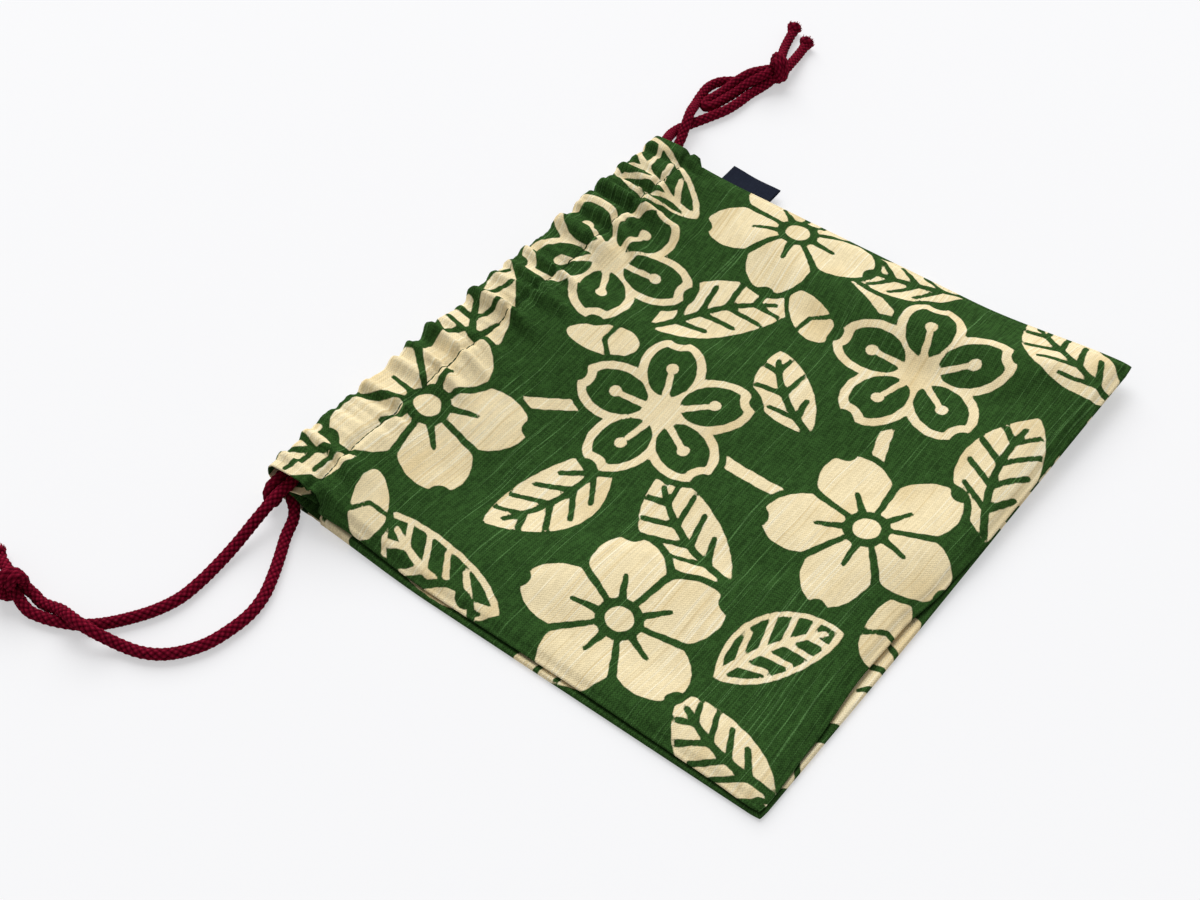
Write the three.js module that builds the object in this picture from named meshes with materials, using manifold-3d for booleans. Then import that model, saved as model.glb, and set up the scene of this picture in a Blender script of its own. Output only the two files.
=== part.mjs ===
// A drawstring pouch lying empty on its back. Two printed cloth panels are sewn along both sides and
// the bottom and turned right side out. Each panel's mouth edge is folded inside and stitched down as
// a channel. Two round cords run through both channels from opposite sides, and each ends in a knot.
// A folded label is caught in one side seam.
// X runs across the pouch, Y from the bottom seam to the mouth, Z up. Units are millimetres. The
// origin is under the middle of the pouch, on the surface that it lies on.
import * as THREE from "three";
import { mergeVertices } from "three/addons/utils/BufferGeometryUtils.js";
import Module from "manifold-3d";

// Bag
const bagWidth = 250; // side seam to side seam
const bagHeight = 230; // bottom seam to mouth fold
const mouthWidth = 236; // hem end to hem end, drawn in by the gathers
const clothThickness = 0.5;
const cornerRadius = 5; // bottom corners, seen from above
const panelSag = 1.5; // dip of the front panel between its seams
const cornerLift = 6; // rise of the bottom corner on the label side
const liftStartX = -60; // where that rise begins, across the pouch
const liftStartY = -45; // and along it

// Seams
const seamRadius = 0.8; // roll of each panel's edge, at mid cloth
const seamLand = 2.5; // flat cloth behind the roll, where the panels meet
const seamGap = 0.3; // between two layers of cloth that lie on each other

// Mouth
const channelDepth = 20; // mouth fold to stitch line
const hemEdge = 4; // hem past the stitch line
const slitDepth = 26; // mouth fold to the top of the side seams
const shoulderDepth = 85; // mouth fold to where the sides start to draw in
const gatherCount = 20;
const gatherHeight = 1.8; // front panel
const backGatherHeight = 0.4; // back panel, pressed by what lies on it
const gatherScallop = 1; // how far a gather stands past the mouth
const gatherReach = 60; // stitch line to where the gathers fade out
const gatherSpread = 0.25; // share by which gathers differ in height
const gatherShift = 0.45; // share of a column by which gathers differ in place
const heightBeats = [1.9, 0.7]; // radians a column, the rhythm of those heights
const placeBeat = 2.1; // and of those places

// Cords
const cordDiameter = 4.8;
const cordClearance = 0.25; // to the cloth round it
const cordFloat = 0.05; // under a cord that lies on the surface
const turnReach = 3; // hem end to the start of the left cord's turn
const turnAngles = [60, 20, -20, -60]; // degrees, where that turn has a point
const knotLength = 13;
const knotDiameter = 11.5;
const knotWaist = 0.12; // groove between the two turns of a knot, as a share of its radius
const knotWaistWidth = 0.25; // and as a share of half its length
const knotGap = 0.3; // to the strands that run into it
const strandSpread = 2.7; // each strand's distance from the knot's axis
const strandRise = 0.35; // lift of a strand's middle at its knot, in diameters above lying flat
const strandApproach = 0.1; // and one diameter before it

// Label
const labelLength = 24;
const labelReach = 9; // out of the side seam
const labelDepth = 33.5; // mouth fold to the label's upper edge
const labelCloth = 0.35;
const labelFold = 0.3; // half the distance between the label's two layers
const labelGap = 0.05; // to the seam that it comes out of

// Mesh density
const bodyRows = 6;
const rowCrowding = 1.3; // above 1, rows lie closer near the mouth
const rollSteps = 3;
const foldSteps = 4;
const cornerSteps = 4;
const labelRows = 4;
const cordSides = 8;
const cordSteps = 73;
const tailSteps = 5;
const knotSides = 12;
const knotSteps = 8;

// Derived places
const FRONT = 1;
const BACK = -1;
const columnCount = 2 * gatherCount;
const mouthY = bagHeight / 2;
const mouthHalf = mouthWidth / 2;
const stitchY = mouthY - channelDepth;
const slitY = mouthY - slitDepth;
const shoulderY = mouthY - shoulderDepth;
const gatherEndY = stitchY - gatherReach;
const bodyHalf = bagWidth / 2 - cornerRadius;
const bodyBottomY = -bagHeight / 2 + cornerRadius;
const cordRadius = cordDiameter / 2;
const layerStep = clothThickness + seamGap;
const channelSpacing = cordDiameter + 2 * cordClearance + clothThickness;
const foldRadius = channelSpacing / 2;
const outerCordY = mouthY - clothThickness / 2 - foldRadius;
const innerCordY = outerCordY - cordDiameter - cordClearance;
const backBodyZ = clothThickness / 2;
const frontBodyZ = backBodyZ + 4 * seamRadius + layerStep;
const backHemOuterZ = backBodyZ + backGatherHeight;
const backHemInnerZ = backHemOuterZ + channelSpacing;
const frontHemInnerZ = backHemInnerZ + layerStep;
const frontHemOuterZ = frontHemInnerZ + channelSpacing;
const backCordZ = backHemOuterZ + foldRadius;
const frontCordZ = frontHemInnerZ + foldRadius;
const tableCordZ = cordRadius + cordFloat;

const clothMaterial = new THREE.MeshStandardMaterial({ color: 0x355430, roughness: 0.9, metalness: 0 });
const cordMaterial = new THREE.MeshStandardMaterial({ color: 0x520a1a, roughness: 0.8, metalness: 0 });
const labelMaterial = new THREE.MeshStandardMaterial({ color: 0x24282e, roughness: 0.7, metalness: 0 });

const wasm = await Module();
wasm.setup();

const { lerp, clamp, smoothstep } = THREE.MathUtils;

// A sheet of no thickness, as points and triangles, that is given its cloth at the end
class Sheet {
  constructor() {
    this.points = [];
    this.triangles = [];
  }

  add(point) {
    return this.points.push(point) - 1;
  }

  // Two triangles between four points in order, leaving out one whose corners coincide
  quad(a, b, c, d) {
    for (const triangle of [[a, b, c], [a, c, d]]) {
      if (new Set(triangle).size === 3) this.triangles.push(triangle);
    }
  }

  // The closed solid of this sheet with half of its cloth on each side
  thicken(thickness) {
    const middle = new THREE.BufferGeometry().setFromPoints(this.points);
    middle.setIndex(this.triangles.flat());
    middle.computeVertexNormals();
    const normals = middle.getAttribute("normal");
    const offset = this.points.map((_, i) => {
      return new THREE.Vector3().fromBufferAttribute(normals, i).multiplyScalar(thickness / 2);
    });
    const count = this.points.length;
    const upper = this.points.map((point, i) => point.clone().add(offset[i]));
    const lower = this.points.map((point, i) => point.clone().sub(offset[i]));
    const faces = [];
    const edges = new Map();
    for (const [a, b, c] of this.triangles) {
      faces.push(a, b, c, count + a, count + c, count + b);
      for (const [from, to] of [[a, b], [b, c], [c, a]]) edges.set(`${from} ${to}`, [from, to]);
    }
    for (const [from, to] of edges.values()) {
      if (edges.has(`${to} ${from}`)) continue;
      faces.push(to, from, count + from, to, count + from, count + to);
    }
    const solid = new THREE.BufferGeometry().setFromPoints([...upper, ...lower]);
    solid.setIndex(faces);
    return solid;
  }
}

// Rise of the cloth at the bottom corner that curls off the surface
function cornerLiftAt(x, y) {
  const across = smoothstep(x, liftStartX, bagWidth / 2);
  const along = smoothstep(-y, -liftStartY, bagHeight / 2);
  return cornerLift * across * along;
}

// From 0 in the body to 1 at the cords: how much a height belongs to the gathered mouth
function gatherShareAt(y) {
  return smoothstep(y, gatherEndY, innerCordY);
}

// Height of a panel's outer layer, before its gathers and its sag
function outerHeight(side, x, y) {
  const body = side === FRONT ? frontBodyZ : backBodyZ;
  const hem = side === FRONT ? frontHemOuterZ : backHemOuterZ;
  return lerp(body, hem, gatherShareAt(y)) + cornerLiftAt(x, y);
}

// Height at which the two panels meet in the seam
function seamHeight(x, y) {
  return (outerHeight(FRONT, x, y) + outerHeight(BACK, x, y)) / 2;
}

// Distance between the outer layer and the folded hem behind it
function hemSpacing(y) {
  const share = clamp((y - stitchY) / (innerCordY - stitchY), 0, 1);
  return lerp(layerStep, channelSpacing, share);
}

// Half the width of a panel inside its rolled edges
function panelHalf(y) {
  return lerp(bodyHalf, mouthHalf, smoothstep(y, shoulderY, stitchY));
}

// How high one column of the cloth stands in its gather, from 0 in the valleys
function columnGather(column) {
  if (column % 2 === 0) return 0;
  const [beat, swell] = heightBeats;
  return 1 - gatherSpread * (1 - Math.sin(beat * column) * Math.cos(swell * column));
}

// Place of a column across the panel, from -1 to 1, with gathers of uneven width
function columnPlace(column) {
  const inside = column > 0 && column < columnCount;
  const shift = inside ? gatherShift * Math.sin(placeBeat * column) : 0;
  return (2 * column + shift) / columnCount - 1;
}

// The rows of a panel from the hem's free edge round the mouth fold and down to the bottom seam
function panelRows() {
  const taperY = (stitchY + innerCordY) / 2;
  const rows = [stitchY - hemEdge, stitchY, taperY, innerCordY].map((y) => ({ layer: "hem", y }));
  for (let i = 0; i <= foldSteps; i += 1) {
    rows.push({ layer: "fold", y: outerCordY, angle: Math.PI * (i / foldSteps - 0.5) });
  }
  for (const y of [innerCordY, taperY, stitchY]) rows.push({ layer: "outer", y });
  for (let i = 0; i <= bodyRows; i += 1) {
    rows.push({ layer: "outer", y: lerp(slitY, bodyBottomY, (i / bodyRows) ** rowCrowding) });
  }
  return rows;
}

// One point of a panel's middle surface
function panelPoint(side, column, row) {
  const place = columnPlace(column);
  const x = place * panelHalf(row.y);
  const outer = outerHeight(side, x, row.y);
  const gather = columnGather(column);
  const height = side * gather * (side === FRONT ? gatherHeight : backGatherHeight);
  if (row.layer === "hem") return new THREE.Vector3(x, row.y, outer - side * hemSpacing(row.y));
  if (row.layer === "fold") {
    const forward = Math.cos(row.angle);
    const up = Math.sin(row.angle);
    const y = row.y + (foldRadius + gatherScallop * gather) * forward;
    const z = outer - side * foldRadius * (1 - up) + height * Math.max(0, up);
    return new THREE.Vector3(x, y, z);
  }
  const along = clamp((row.y - bodyBottomY) / (stitchY - bodyBottomY), 0, 1);
  const sag = side === FRONT ? panelSag * 4 * along * (1 - along) * (1 - place ** 4) : 0;
  return new THREE.Vector3(x, row.y, outer + height * gatherShareAt(row.y) - sag);
}

// The rolled edge at one place on the rim: points outwards from the panel and back to the seam
function rimPoints(side, base, direction) {
  const rollCentre = cornerRadius - seamRadius;
  const stops = [];
  for (let i = 0; i <= rollSteps; i += 1) {
    const turn = (Math.PI * i) / rollSteps;
    stops.push({ reach: rollCentre + seamRadius * Math.sin(turn), turn });
  }
  stops.push({ reach: rollCentre - seamLand, turn: Math.PI });
  return stops.map(({ reach, turn }) => {
    const x = base.x + direction.x * reach;
    const y = base.y + direction.y * reach;
    const outer = outerHeight(side, x, y);
    const land = seamHeight(x, y) + (side * layerStep) / 2;
    return new THREE.Vector3(x, y, lerp(land, outer, (1 + Math.cos(turn)) / 2));
  });
}

// One cloth panel with its hem, its gathers and its three rolled edges
function clothPanel(side) {
  const sheet = new Sheet();
  const rows = panelRows();
  const grid = rows.map((row) => {
    return Array.from({ length: columnCount + 1 }, (_, column) => sheet.add(panelPoint(side, column, row)));
  });
  for (let r = 0; r < rows.length - 1; r += 1) {
    for (let c = 0; c < columnCount; c += 1) {
      sheet.quad(grid[r][c], grid[r + 1][c], grid[r + 1][c + 1], grid[r][c + 1]);
    }
  }
  const firstRow = rows.length - 1 - bodyRows;
  const lastRow = rows.length - 1;
  const stations = [];
  const station = (index, angle) => {
    const direction = new THREE.Vector2(Math.cos(angle), Math.sin(angle));
    const points = rimPoints(side, sheet.points[index], direction);
    stations.push([index, ...points.map((point) => sheet.add(point))]);
  };
  const corner = (index, from) => {
    for (let i = 1; i < cornerSteps; i += 1) station(index, from + (Math.PI / 2) * (i / cornerSteps));
  };
  for (let r = firstRow; r <= lastRow; r += 1) station(grid[r][0], Math.PI);
  corner(grid[lastRow][0], Math.PI);
  for (let c = 0; c <= columnCount; c += 1) station(grid[lastRow][c], -Math.PI / 2);
  corner(grid[lastRow][columnCount], -Math.PI / 2);
  for (let r = lastRow; r >= firstRow; r -= 1) station(grid[r][columnCount], 0);
  for (let s = 0; s < stations.length - 1; s += 1) {
    const here = stations[s];
    const next = stations[s + 1];
    for (let k = 0; k < here.length - 1; k += 1) sheet.quad(here[k], here[k + 1], next[k + 1], next[k]);
  }
  return sheet.thicken(clothThickness);
}

// The woven label: a strip folded at its outer end, its two ends in the seam
function foldedLabel() {
  const sheet = new Sheet();
  const seamX = bagWidth / 2 + labelGap;
  const foldX = bagWidth / 2 + labelReach - labelFold;
  const section = [
    { x: seamX, z: labelFold },
    { x: (seamX + foldX) / 2, z: labelFold },
    { x: foldX, z: labelFold },
    { x: foldX + labelFold, z: 0 },
    { x: foldX, z: -labelFold },
    { x: (seamX + foldX) / 2, z: -labelFold },
    { x: seamX, z: -labelFold },
  ];
  const rows = [];
  for (let i = 0; i <= labelRows; i += 1) {
    const y = mouthY - labelDepth - (labelLength * i) / labelRows;
    const level = seamHeight(bagWidth / 2, y);
    const draw = bodyHalf - panelHalf(y);
    rows.push(section.map(({ x, z }) => sheet.add(new THREE.Vector3(x - draw, y, level + z))));
  }
  for (let r = 0; r < labelRows; r += 1) {
    for (let k = 0; k < section.length - 1; k += 1) {
      sheet.quad(rows[r][k], rows[r + 1][k], rows[r + 1][k + 1], rows[r][k + 1]);
    }
  }
  return sheet.thicken(labelCloth);
}

// A cord's curve, stepped evenly from point to point so that its tight turns get short steps
class CordCurve extends THREE.CatmullRomCurve3 {
  getPointAt(share, target) {
    return this.getPoint(share, target);
  }

  getTangentAt(share, target) {
    return this.getTangent(share, target);
  }
}

// A round cord along a route
function cordTube(points, steps) {
  const section = Array.from({ length: cordSides }, (_, i) => {
    const angle = (2 * Math.PI * (i + 0.5)) / cordSides;
    return new THREE.Vector2(cordRadius * Math.cos(angle), cordRadius * Math.sin(angle));
  });
  const extrudePath = new CordCurve(points, false, "centripetal");
  return new THREE.ExtrudeGeometry(new THREE.Shape(section), { steps, bevelEnabled: false, extrudePath });
}

// A place beyond the hem's end on one side (-1 left, 1 right), by its distances from the mouth's corner
function beyond(side, [away, along, z = tableCordZ]) {
  return new THREE.Vector3(side * (mouthHalf + away), mouthY + along, z);
}

// A straight run through a channel from one hem end to the other
function channelRun(fromSide, y, z) {
  const insideEnd = mouthHalf - 2 * cordDiameter;
  const places = [-mouthHalf, -insideEnd, -insideEnd / 3, insideEnd / 3, insideEnd, mouthHalf];
  return places.map((x) => new THREE.Vector3(-fromSide * x, y, z));
}

// The left cord's turn at the right hem end, from the front channel down to the back one
function uprightTurn(y) {
  const radius = (frontCordZ - backCordZ) / 2;
  return turnAngles.map((degrees) => {
    const angle = THREE.MathUtils.degToRad(degrees);
    const away = turnReach + radius * Math.cos(angle);
    return new THREE.Vector3(mouthHalf + away, y, backCordZ + radius * (1 + Math.sin(angle)));
  });
}

// Where a strand meets its knot, and a place a little before it
function knotEntry(knot, hand) {
  const across = new THREE.Vector3(-knot.axis.y, knot.axis.x, 0).multiplyScalar(hand * strandSpread);
  const back = (distance, z) => {
    const place = knot.centre.clone().addScaledVector(knot.axis, -distance).add(across);
    return place.setZ(z);
  };
  const face = knotLength / 2 + knotGap;
  const approachZ = cordRadius + strandApproach * cordDiameter;
  const entryZ = cordRadius + strandRise * cordDiameter;
  return [back(face + cordDiameter, approachZ), back(face, entryZ)];
}

// A knot and its two cut tails, as one body
function knotBody(knot) {
  const profile = [];
  for (let i = 0; i <= knotSteps; i += 1) {
    const angle = Math.PI * (i / knotSteps - 0.5);
    const groove = 1 - knotWaist * Math.exp(-((Math.sin(angle) / knotWaistWidth) ** 2));
    const radius = (knotDiameter / 2) * Math.cos(angle) * groove;
    profile.push(new THREE.Vector2(Math.max(0, radius), (knotLength / 2) * Math.sin(angle)));
  }
  profile[0].x = 0;
  profile[knotSteps].x = 0;
  const body = new THREE.LatheGeometry(profile, knotSides);
  const turn = new THREE.Quaternion().setFromUnitVectors(new THREE.Vector3(0, 1, 0), knot.axis);
  body.applyQuaternion(turn);
  body.translate(knot.centre.x, knot.centre.y, knot.centre.z);
  const solids = [body, ...knot.tails.map((tail) => cordTube([knot.centre.clone(), ...tail], tailSteps))];
  const [first, ...others] = solids.map(toManifold);
  return fromManifold(others.reduce((whole, other) => whole.add(other), first));
}

function toManifold(geometry) {
  const bare = geometry.clone();
  bare.deleteAttribute("normal");
  bare.deleteAttribute("uv");
  const merged = mergeVertices(bare);
  const vertProperties = new Float32Array(merged.getAttribute("position").array);
  const triVerts = new Uint32Array(merged.getIndex().array);
  return new wasm.Manifold(new wasm.Mesh({ numProp: 3, vertProperties, triVerts }));
}

function fromManifold(solid) {
  const mesh = solid.getMesh();
  const geometry = new THREE.BufferGeometry();
  geometry.setAttribute("position", new THREE.BufferAttribute(new Float32Array(mesh.vertProperties), 3));
  geometry.setIndex(new THREE.BufferAttribute(new Uint32Array(mesh.triVerts), 1));
  return geometry;
}

// Knots: place and direction from the mouth's corner, and where the tails lie
function knotAt(side, place, heading, tails) {
  const angle = THREE.MathUtils.degToRad(heading);
  return {
    centre: beyond(side, [...place, knotDiameter / 2]),
    axis: new THREE.Vector3(Math.cos(angle), Math.sin(angle), 0),
    tails: tails.map((tail) => tail.map((point) => beyond(side, point))),
  };
}
const leftKnot = knotAt(-1, [95.3, 37.7], 84, [
  [[92.6, 45.2, 5.2], [90.4, 51.8, 3.5], [88.2, 58.4]],
  [[97.6, 45.6, 5.2], [98.4, 52.6, 3.2], [98.6, 59]],
]);
const rightKnot = knotAt(1, [83.4, -9.1], -20, [
  [[91.5, -4.6, 5.2], [102, 0.4, 3.2], [118.5, 5.7]],
  [[92, -10.4, 5.2], [101, -8.2, 3.4], [112.6, -5.6]],
]);

// Free strands, from the hem's end to the knot: away from the mouth's corner, along Y, height
const leftFrontStrand = [
  [3, -8.2, 10.1], [6.8, -9.4, 9.95], [10.6, -10.6, 9.8], [14.5, -11, 9], [19, -11, 7.7], [23.1, -11, 6.4],
  [32.3, -11.3, 3.9], [41.2, -11.8, 2.7], [52, -12.5], [61.6, -12.1], [70.6, -9.2], [78.8, -4.5],
  [86.2, 1.1], [91, 6.3], [93.8, 11], [96.4, 16.6], [98, 21.4],
];
const leftBackStrand = [
  [3, -8.5, 3.6], [4.4, -11.6, 3.3], [5.8, -15.3, 2.9], [9.9, -18.6, 2.6], [17.5, -22.2], [25.6, -27.1],
  [33.8, -31.7], [42.3, -35.6], [51.1, -37.4], [60.5, -36.8], [70, -34.5], [78.1, -29.8], [83.1, -24.9],
  [86.5, -18.2], [88.6, -10.3, 2.9], [90.2, -4.6, 4.8], [91.4, 0.6, 7.1], [91.9, 5.6, 7.8], [91.9, 10.8, 7.2],
  [91.9, 17, 5],
];
const rightFrontStrand = [
  [3, -2.9, 10.1], [7, -1.2, 9.4], [13.5, 1.8, 6.4], [19.5, 4, 3.6], [25, 4], [35, 0], [41, -2.4],
  [47.4, -4.7], [55.4, -6.1], [63.5, -6.6],
];
const rightBackStrand = [
  [3, -3, 3.6], [6.5, -3.2, 3.4], [12, -3.2, 3.2], [18.5, -1.6, 4.6], [24, 0.4, 6.9], [28.6, 2.3, 7.7],
  [33, 4.2, 7.1], [38, 6.5, 4.8], [43, 8.7, 2.9], [48.4, 10.4], [56.5, 11.6], [62.6, 9.7], [66.6, 5.4],
  [70, 0.9, 2.6],
];

// The right cord's turn at the left hem end, drawn out and lying over
const leftTurn = [
  [3.2, -3.1, 10], [6.4, -3.4, 9.2], [8.9, -4.5, 7.4], [9.9, -6.2, 5.2], [9.4, -7.4, 3.7],
  [7.9, -6.4, 3.05], [5.8, -4.2, 3.1], [3, -3.2, 3.45],
];

function leftCord() {
  const strand = (points) => points.map((point) => beyond(-1, point));
  return cordTube([
    ...knotEntry(leftKnot, 1).reverse(),
    ...strand(leftFrontStrand).reverse(),
    ...channelRun(-1, innerCordY, frontCordZ),
    ...uprightTurn(innerCordY),
    ...channelRun(-1, innerCordY, backCordZ).reverse(),
    ...strand(leftBackStrand),
    ...knotEntry(leftKnot, -1),
  ], cordSteps);
}

function rightCord() {
  const strand = (side, points) => points.map((point) => beyond(side, point));
  return cordTube([
    ...knotEntry(rightKnot, -1).reverse(),
    ...strand(1, rightFrontStrand).reverse(),
    ...channelRun(1, outerCordY, frontCordZ),
    ...strand(-1, leftTurn),
    ...channelRun(1, outerCordY, backCordZ).reverse(),
    ...strand(1, rightBackStrand),
    ...knotEntry(rightKnot, 1),
  ], cordSteps);
}

const pouch = new THREE.Group();

function addPart(name, geometry, material) {
  const mesh = new THREE.Mesh(geometry, material);
  mesh.name = name;
  pouch.add(mesh);
}

addPart("front_panel", clothPanel(FRONT), clothMaterial);
addPart("back_panel", clothPanel(BACK), clothMaterial);
addPart("side_label", foldedLabel(), labelMaterial);
addPart("left_cord", leftCord(), cordMaterial);
addPart("left_cord_knot", knotBody(leftKnot), cordMaterial);
addPart("right_cord", rightCord(), cordMaterial);
addPart("right_cord_knot", knotBody(rightKnot), cordMaterial);

export default pouch;
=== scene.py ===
"""Looks of a drawstring pouch that lies empty on its back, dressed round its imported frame.

Sizes and places are in millimetres, in the frame's own axes, and turn into metres as each mesh is
made. X runs across the pouch, Y from the bottom seam to the mouth and Z up.
"""
import logging
import math
from dataclasses import dataclass, field
from enum import Enum
from typing import Sequence

import bmesh
import bpy
import numpy as np
from mathutils import Matrix, Vector


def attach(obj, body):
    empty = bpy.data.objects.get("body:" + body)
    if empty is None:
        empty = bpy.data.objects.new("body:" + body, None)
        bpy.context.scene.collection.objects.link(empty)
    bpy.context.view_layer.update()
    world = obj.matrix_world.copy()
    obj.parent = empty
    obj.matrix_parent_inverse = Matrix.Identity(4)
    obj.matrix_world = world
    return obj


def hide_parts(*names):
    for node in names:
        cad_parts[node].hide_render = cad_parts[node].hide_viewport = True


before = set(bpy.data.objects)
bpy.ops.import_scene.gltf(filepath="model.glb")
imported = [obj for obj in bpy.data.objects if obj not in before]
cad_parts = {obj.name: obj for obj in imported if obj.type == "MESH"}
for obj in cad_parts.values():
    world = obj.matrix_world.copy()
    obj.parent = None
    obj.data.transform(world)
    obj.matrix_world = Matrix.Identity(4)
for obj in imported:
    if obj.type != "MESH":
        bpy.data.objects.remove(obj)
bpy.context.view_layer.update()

MM = 0.001
BODY = "root"
LOG = logging.getLogger("pouch")

TINY = 1e-6
SEAM_DISTANCE = 1e-7
ROUTE_SAMPLES = 24

Array = np.ndarray
Place = Sequence[float]
Pair = tuple[float, float]
Colour = tuple[float, float, float, float]
Mesh = bpy.types.Mesh
Piece = bpy.types.Object
Material = bpy.types.Material
Group = bpy.types.NodeTree
Socket = bpy.types.NodeSocket


class Side(Enum):
    """Which of the two cloth panels a size or a shape belongs to."""

    FRONT = 1
    BACK = -1


class Fill(Enum):
    """How a printed motif is filled."""

    SOLID = "solid"
    OUTLINE = "outline"


def lerp(low: Array, high: Array, share: Array) -> Array:
    """Value at a share of the way from low to high."""
    return low + (high - low) * share


def ease(value: Array, low: float, high: float) -> Array:
    """Smooth share from 0 at low to 1 at high."""
    share = np.clip((np.asarray(value, float) - low) / (high - low), 0.0, 1.0)
    return share * share * (3.0 - 2.0 * share)


def bell(value: Array, width: float) -> Array:
    """Bell curve of a value round zero."""
    return np.exp(-((value / width) ** 2))


def eased_list(value: Array, stops: Sequence[Pair]) -> Array:
    """Value between listed stops, with level ground at each stop.

    Args:
        value: Places along the stops.
        stops: Pairs of place and value, in order.

    Returns:
        One value for each place.
    """
    places = np.array([stop[0] for stop in stops])
    levels = np.array([stop[1] for stop in stops])
    value = np.clip(value, places[0], places[-1])
    index = np.clip(np.searchsorted(places, value, side="right") - 1, 0, len(places) - 2)
    share = (value - places[index]) / (places[index + 1] - places[index])
    share = share * share * (3.0 - 2.0 * share)
    return lerp(levels[index], levels[index + 1], share)


def srgb(red: int, green: int, blue: int) -> Colour:
    """Linear colour of a colour given in eight-bit steps.

    Args:
        red: Red, from 0 to 255.
        green: Green, from 0 to 255.
        blue: Blue, from 0 to 255.

    Returns:
        Linear red, green and blue, and full alpha.
    """
    steps = [value / 255.0 for value in (red, green, blue)]
    linear = [((v + 0.055) / 1.055) ** 2.4 if v > 0.04045 else v / 12.92 for v in steps]
    return (linear[0], linear[1], linear[2], 1.0)


@dataclass(frozen=True)
class PouchSizes:
    """Driving sizes of the pouch, the same as in its solids, and the places worked out from them.

    The last six are the scene's own: the soft droop and pull at the two ends of the mouth.
    """

    bag_width: float = 250.0
    bag_height: float = 230.0
    mouth_width: float = 236.0
    cloth: float = 0.5
    corner_radius: float = 5.0
    panel_sag: float = 1.5
    corner_lift: float = 6.0
    lift_start_x: float = -60.0
    lift_start_y: float = -45.0
    seam_radius: float = 0.8
    seam_gap: float = 0.3
    channel_depth: float = 20.0
    hem_edge: float = 4.0
    slit_depth: float = 26.0
    shoulder_depth: float = 85.0
    back_gather: float = 0.4
    gather_reach: float = 60.0
    cord_diameter: float = 4.8
    cord_clearance: float = 0.25
    cord_float: float = 0.05
    turn_reach: float = 3.0
    knot_length: float = 13.0
    knot_diameter: float = 11.5
    knot_gap: float = 0.3
    strand_spread: float = 2.7
    strand_rise: float = 0.35
    strand_approach: float = 0.1
    mouth_droop: float = 2.2
    droop_start: float = 90.0
    droop_rows: Pair = (60.0, 96.0)
    mouth_pull: float = 3.8
    pull_start: float = 70.0
    pull_rows: Pair = (40.0, 92.0)

    @property
    def mouth_y(self) -> float:
        """Front of the mouth fold."""
        return self.bag_height / 2

    @property
    def mouth_half(self) -> float:
        """Half the drawn-in mouth."""
        return self.mouth_width / 2

    @property
    def stitch_y(self) -> float:
        """Row of stitches under the channel."""
        return self.mouth_y - self.channel_depth

    @property
    def slit_y(self) -> float:
        """Top of the side seams."""
        return self.mouth_y - self.slit_depth

    @property
    def shoulder_y(self) -> float:
        """Where the sides start to draw in."""
        return self.mouth_y - self.shoulder_depth

    @property
    def gather_end_y(self) -> float:
        """Where the gathers fade out."""
        return self.stitch_y - self.gather_reach

    @property
    def body_half(self) -> float:
        """Half the width inside the rolled edges."""
        return self.bag_width / 2 - self.corner_radius

    @property
    def body_bottom_y(self) -> float:
        """Where the rolled bottom edge starts."""
        return -self.bag_height / 2 + self.corner_radius

    @property
    def cord_radius(self) -> float:
        """Radius of a cord."""
        return self.cord_diameter / 2

    @property
    def layer_step(self) -> float:
        """From one layer of cloth to the next that lies on it."""
        return self.cloth + self.seam_gap

    @property
    def channel_spacing(self) -> float:
        """Between the two layers of a channel."""
        return self.cord_diameter + 2 * self.cord_clearance + self.cloth

    @property
    def fold_radius(self) -> float:
        """Radius of the mouth fold at mid cloth."""
        return self.channel_spacing / 2

    @property
    def outer_cord_y(self) -> float:
        """Middle of the cord next to the mouth fold."""
        return self.mouth_y - self.cloth / 2 - self.fold_radius

    @property
    def inner_cord_y(self) -> float:
        """Middle of the other cord in a channel."""
        return self.outer_cord_y - self.cord_diameter - self.cord_clearance

    @property
    def front_cord_z(self) -> float:
        """Middle of the cords in the front channel."""
        return self.hem_z(Side.FRONT) - self.fold_radius

    @property
    def back_cord_z(self) -> float:
        """Middle of the cords in the back channel."""
        return self.hem_z(Side.BACK) + self.fold_radius

    @property
    def table_cord_z(self) -> float:
        """Middle of a cord that lies on the table."""
        return self.cord_radius + self.cord_float

    def body_z(self, side: Side) -> float:
        """Height of a panel's cloth in the body of the pouch."""
        back = self.cloth / 2
        return back + 4 * self.seam_radius + self.layer_step if side is Side.FRONT else back

    def hem_z(self, side: Side) -> float:
        """Height of a panel's outer cloth over its cords."""
        back = self.cloth / 2 + self.back_gather
        return back + 2 * self.channel_spacing + self.layer_step if side is Side.FRONT else back

    def gather_share(self, y: Array) -> Array:
        """How much a height belongs to the gathered mouth, from 0 in the body to 1 at the cords."""
        return ease(y, self.gather_end_y, self.inner_cord_y)

    def lift(self, x: Array, y: Array) -> Array:
        """Rise of the bottom corner that curls off the table."""
        across = ease(x, self.lift_start_x, self.bag_width / 2)
        return self.corner_lift * across * ease(-np.asarray(y), -self.lift_start_y, self.bag_height / 2)

    def outer_z(self, side: Side, x: Array, y: Array) -> Array:
        """Height of a panel's outer layer, before its gathers and its sag."""
        share = self.gather_share(y)
        return lerp(self.body_z(side), self.hem_z(side), share) + self.lift(x, y)

    def seam_z(self, x: Array, y: Array) -> Array:
        """Height at which the two panels meet in their seam."""
        return (self.outer_z(Side.FRONT, x, y) + self.outer_z(Side.BACK, x, y)) / 2

    def hem_spacing(self, y: Array) -> Array:
        """Between the outer layer and the folded hem behind it."""
        share = np.clip((y - self.stitch_y) / (self.inner_cord_y - self.stitch_y), 0.0, 1.0)
        return lerp(self.layer_step, self.channel_spacing, share)

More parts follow.
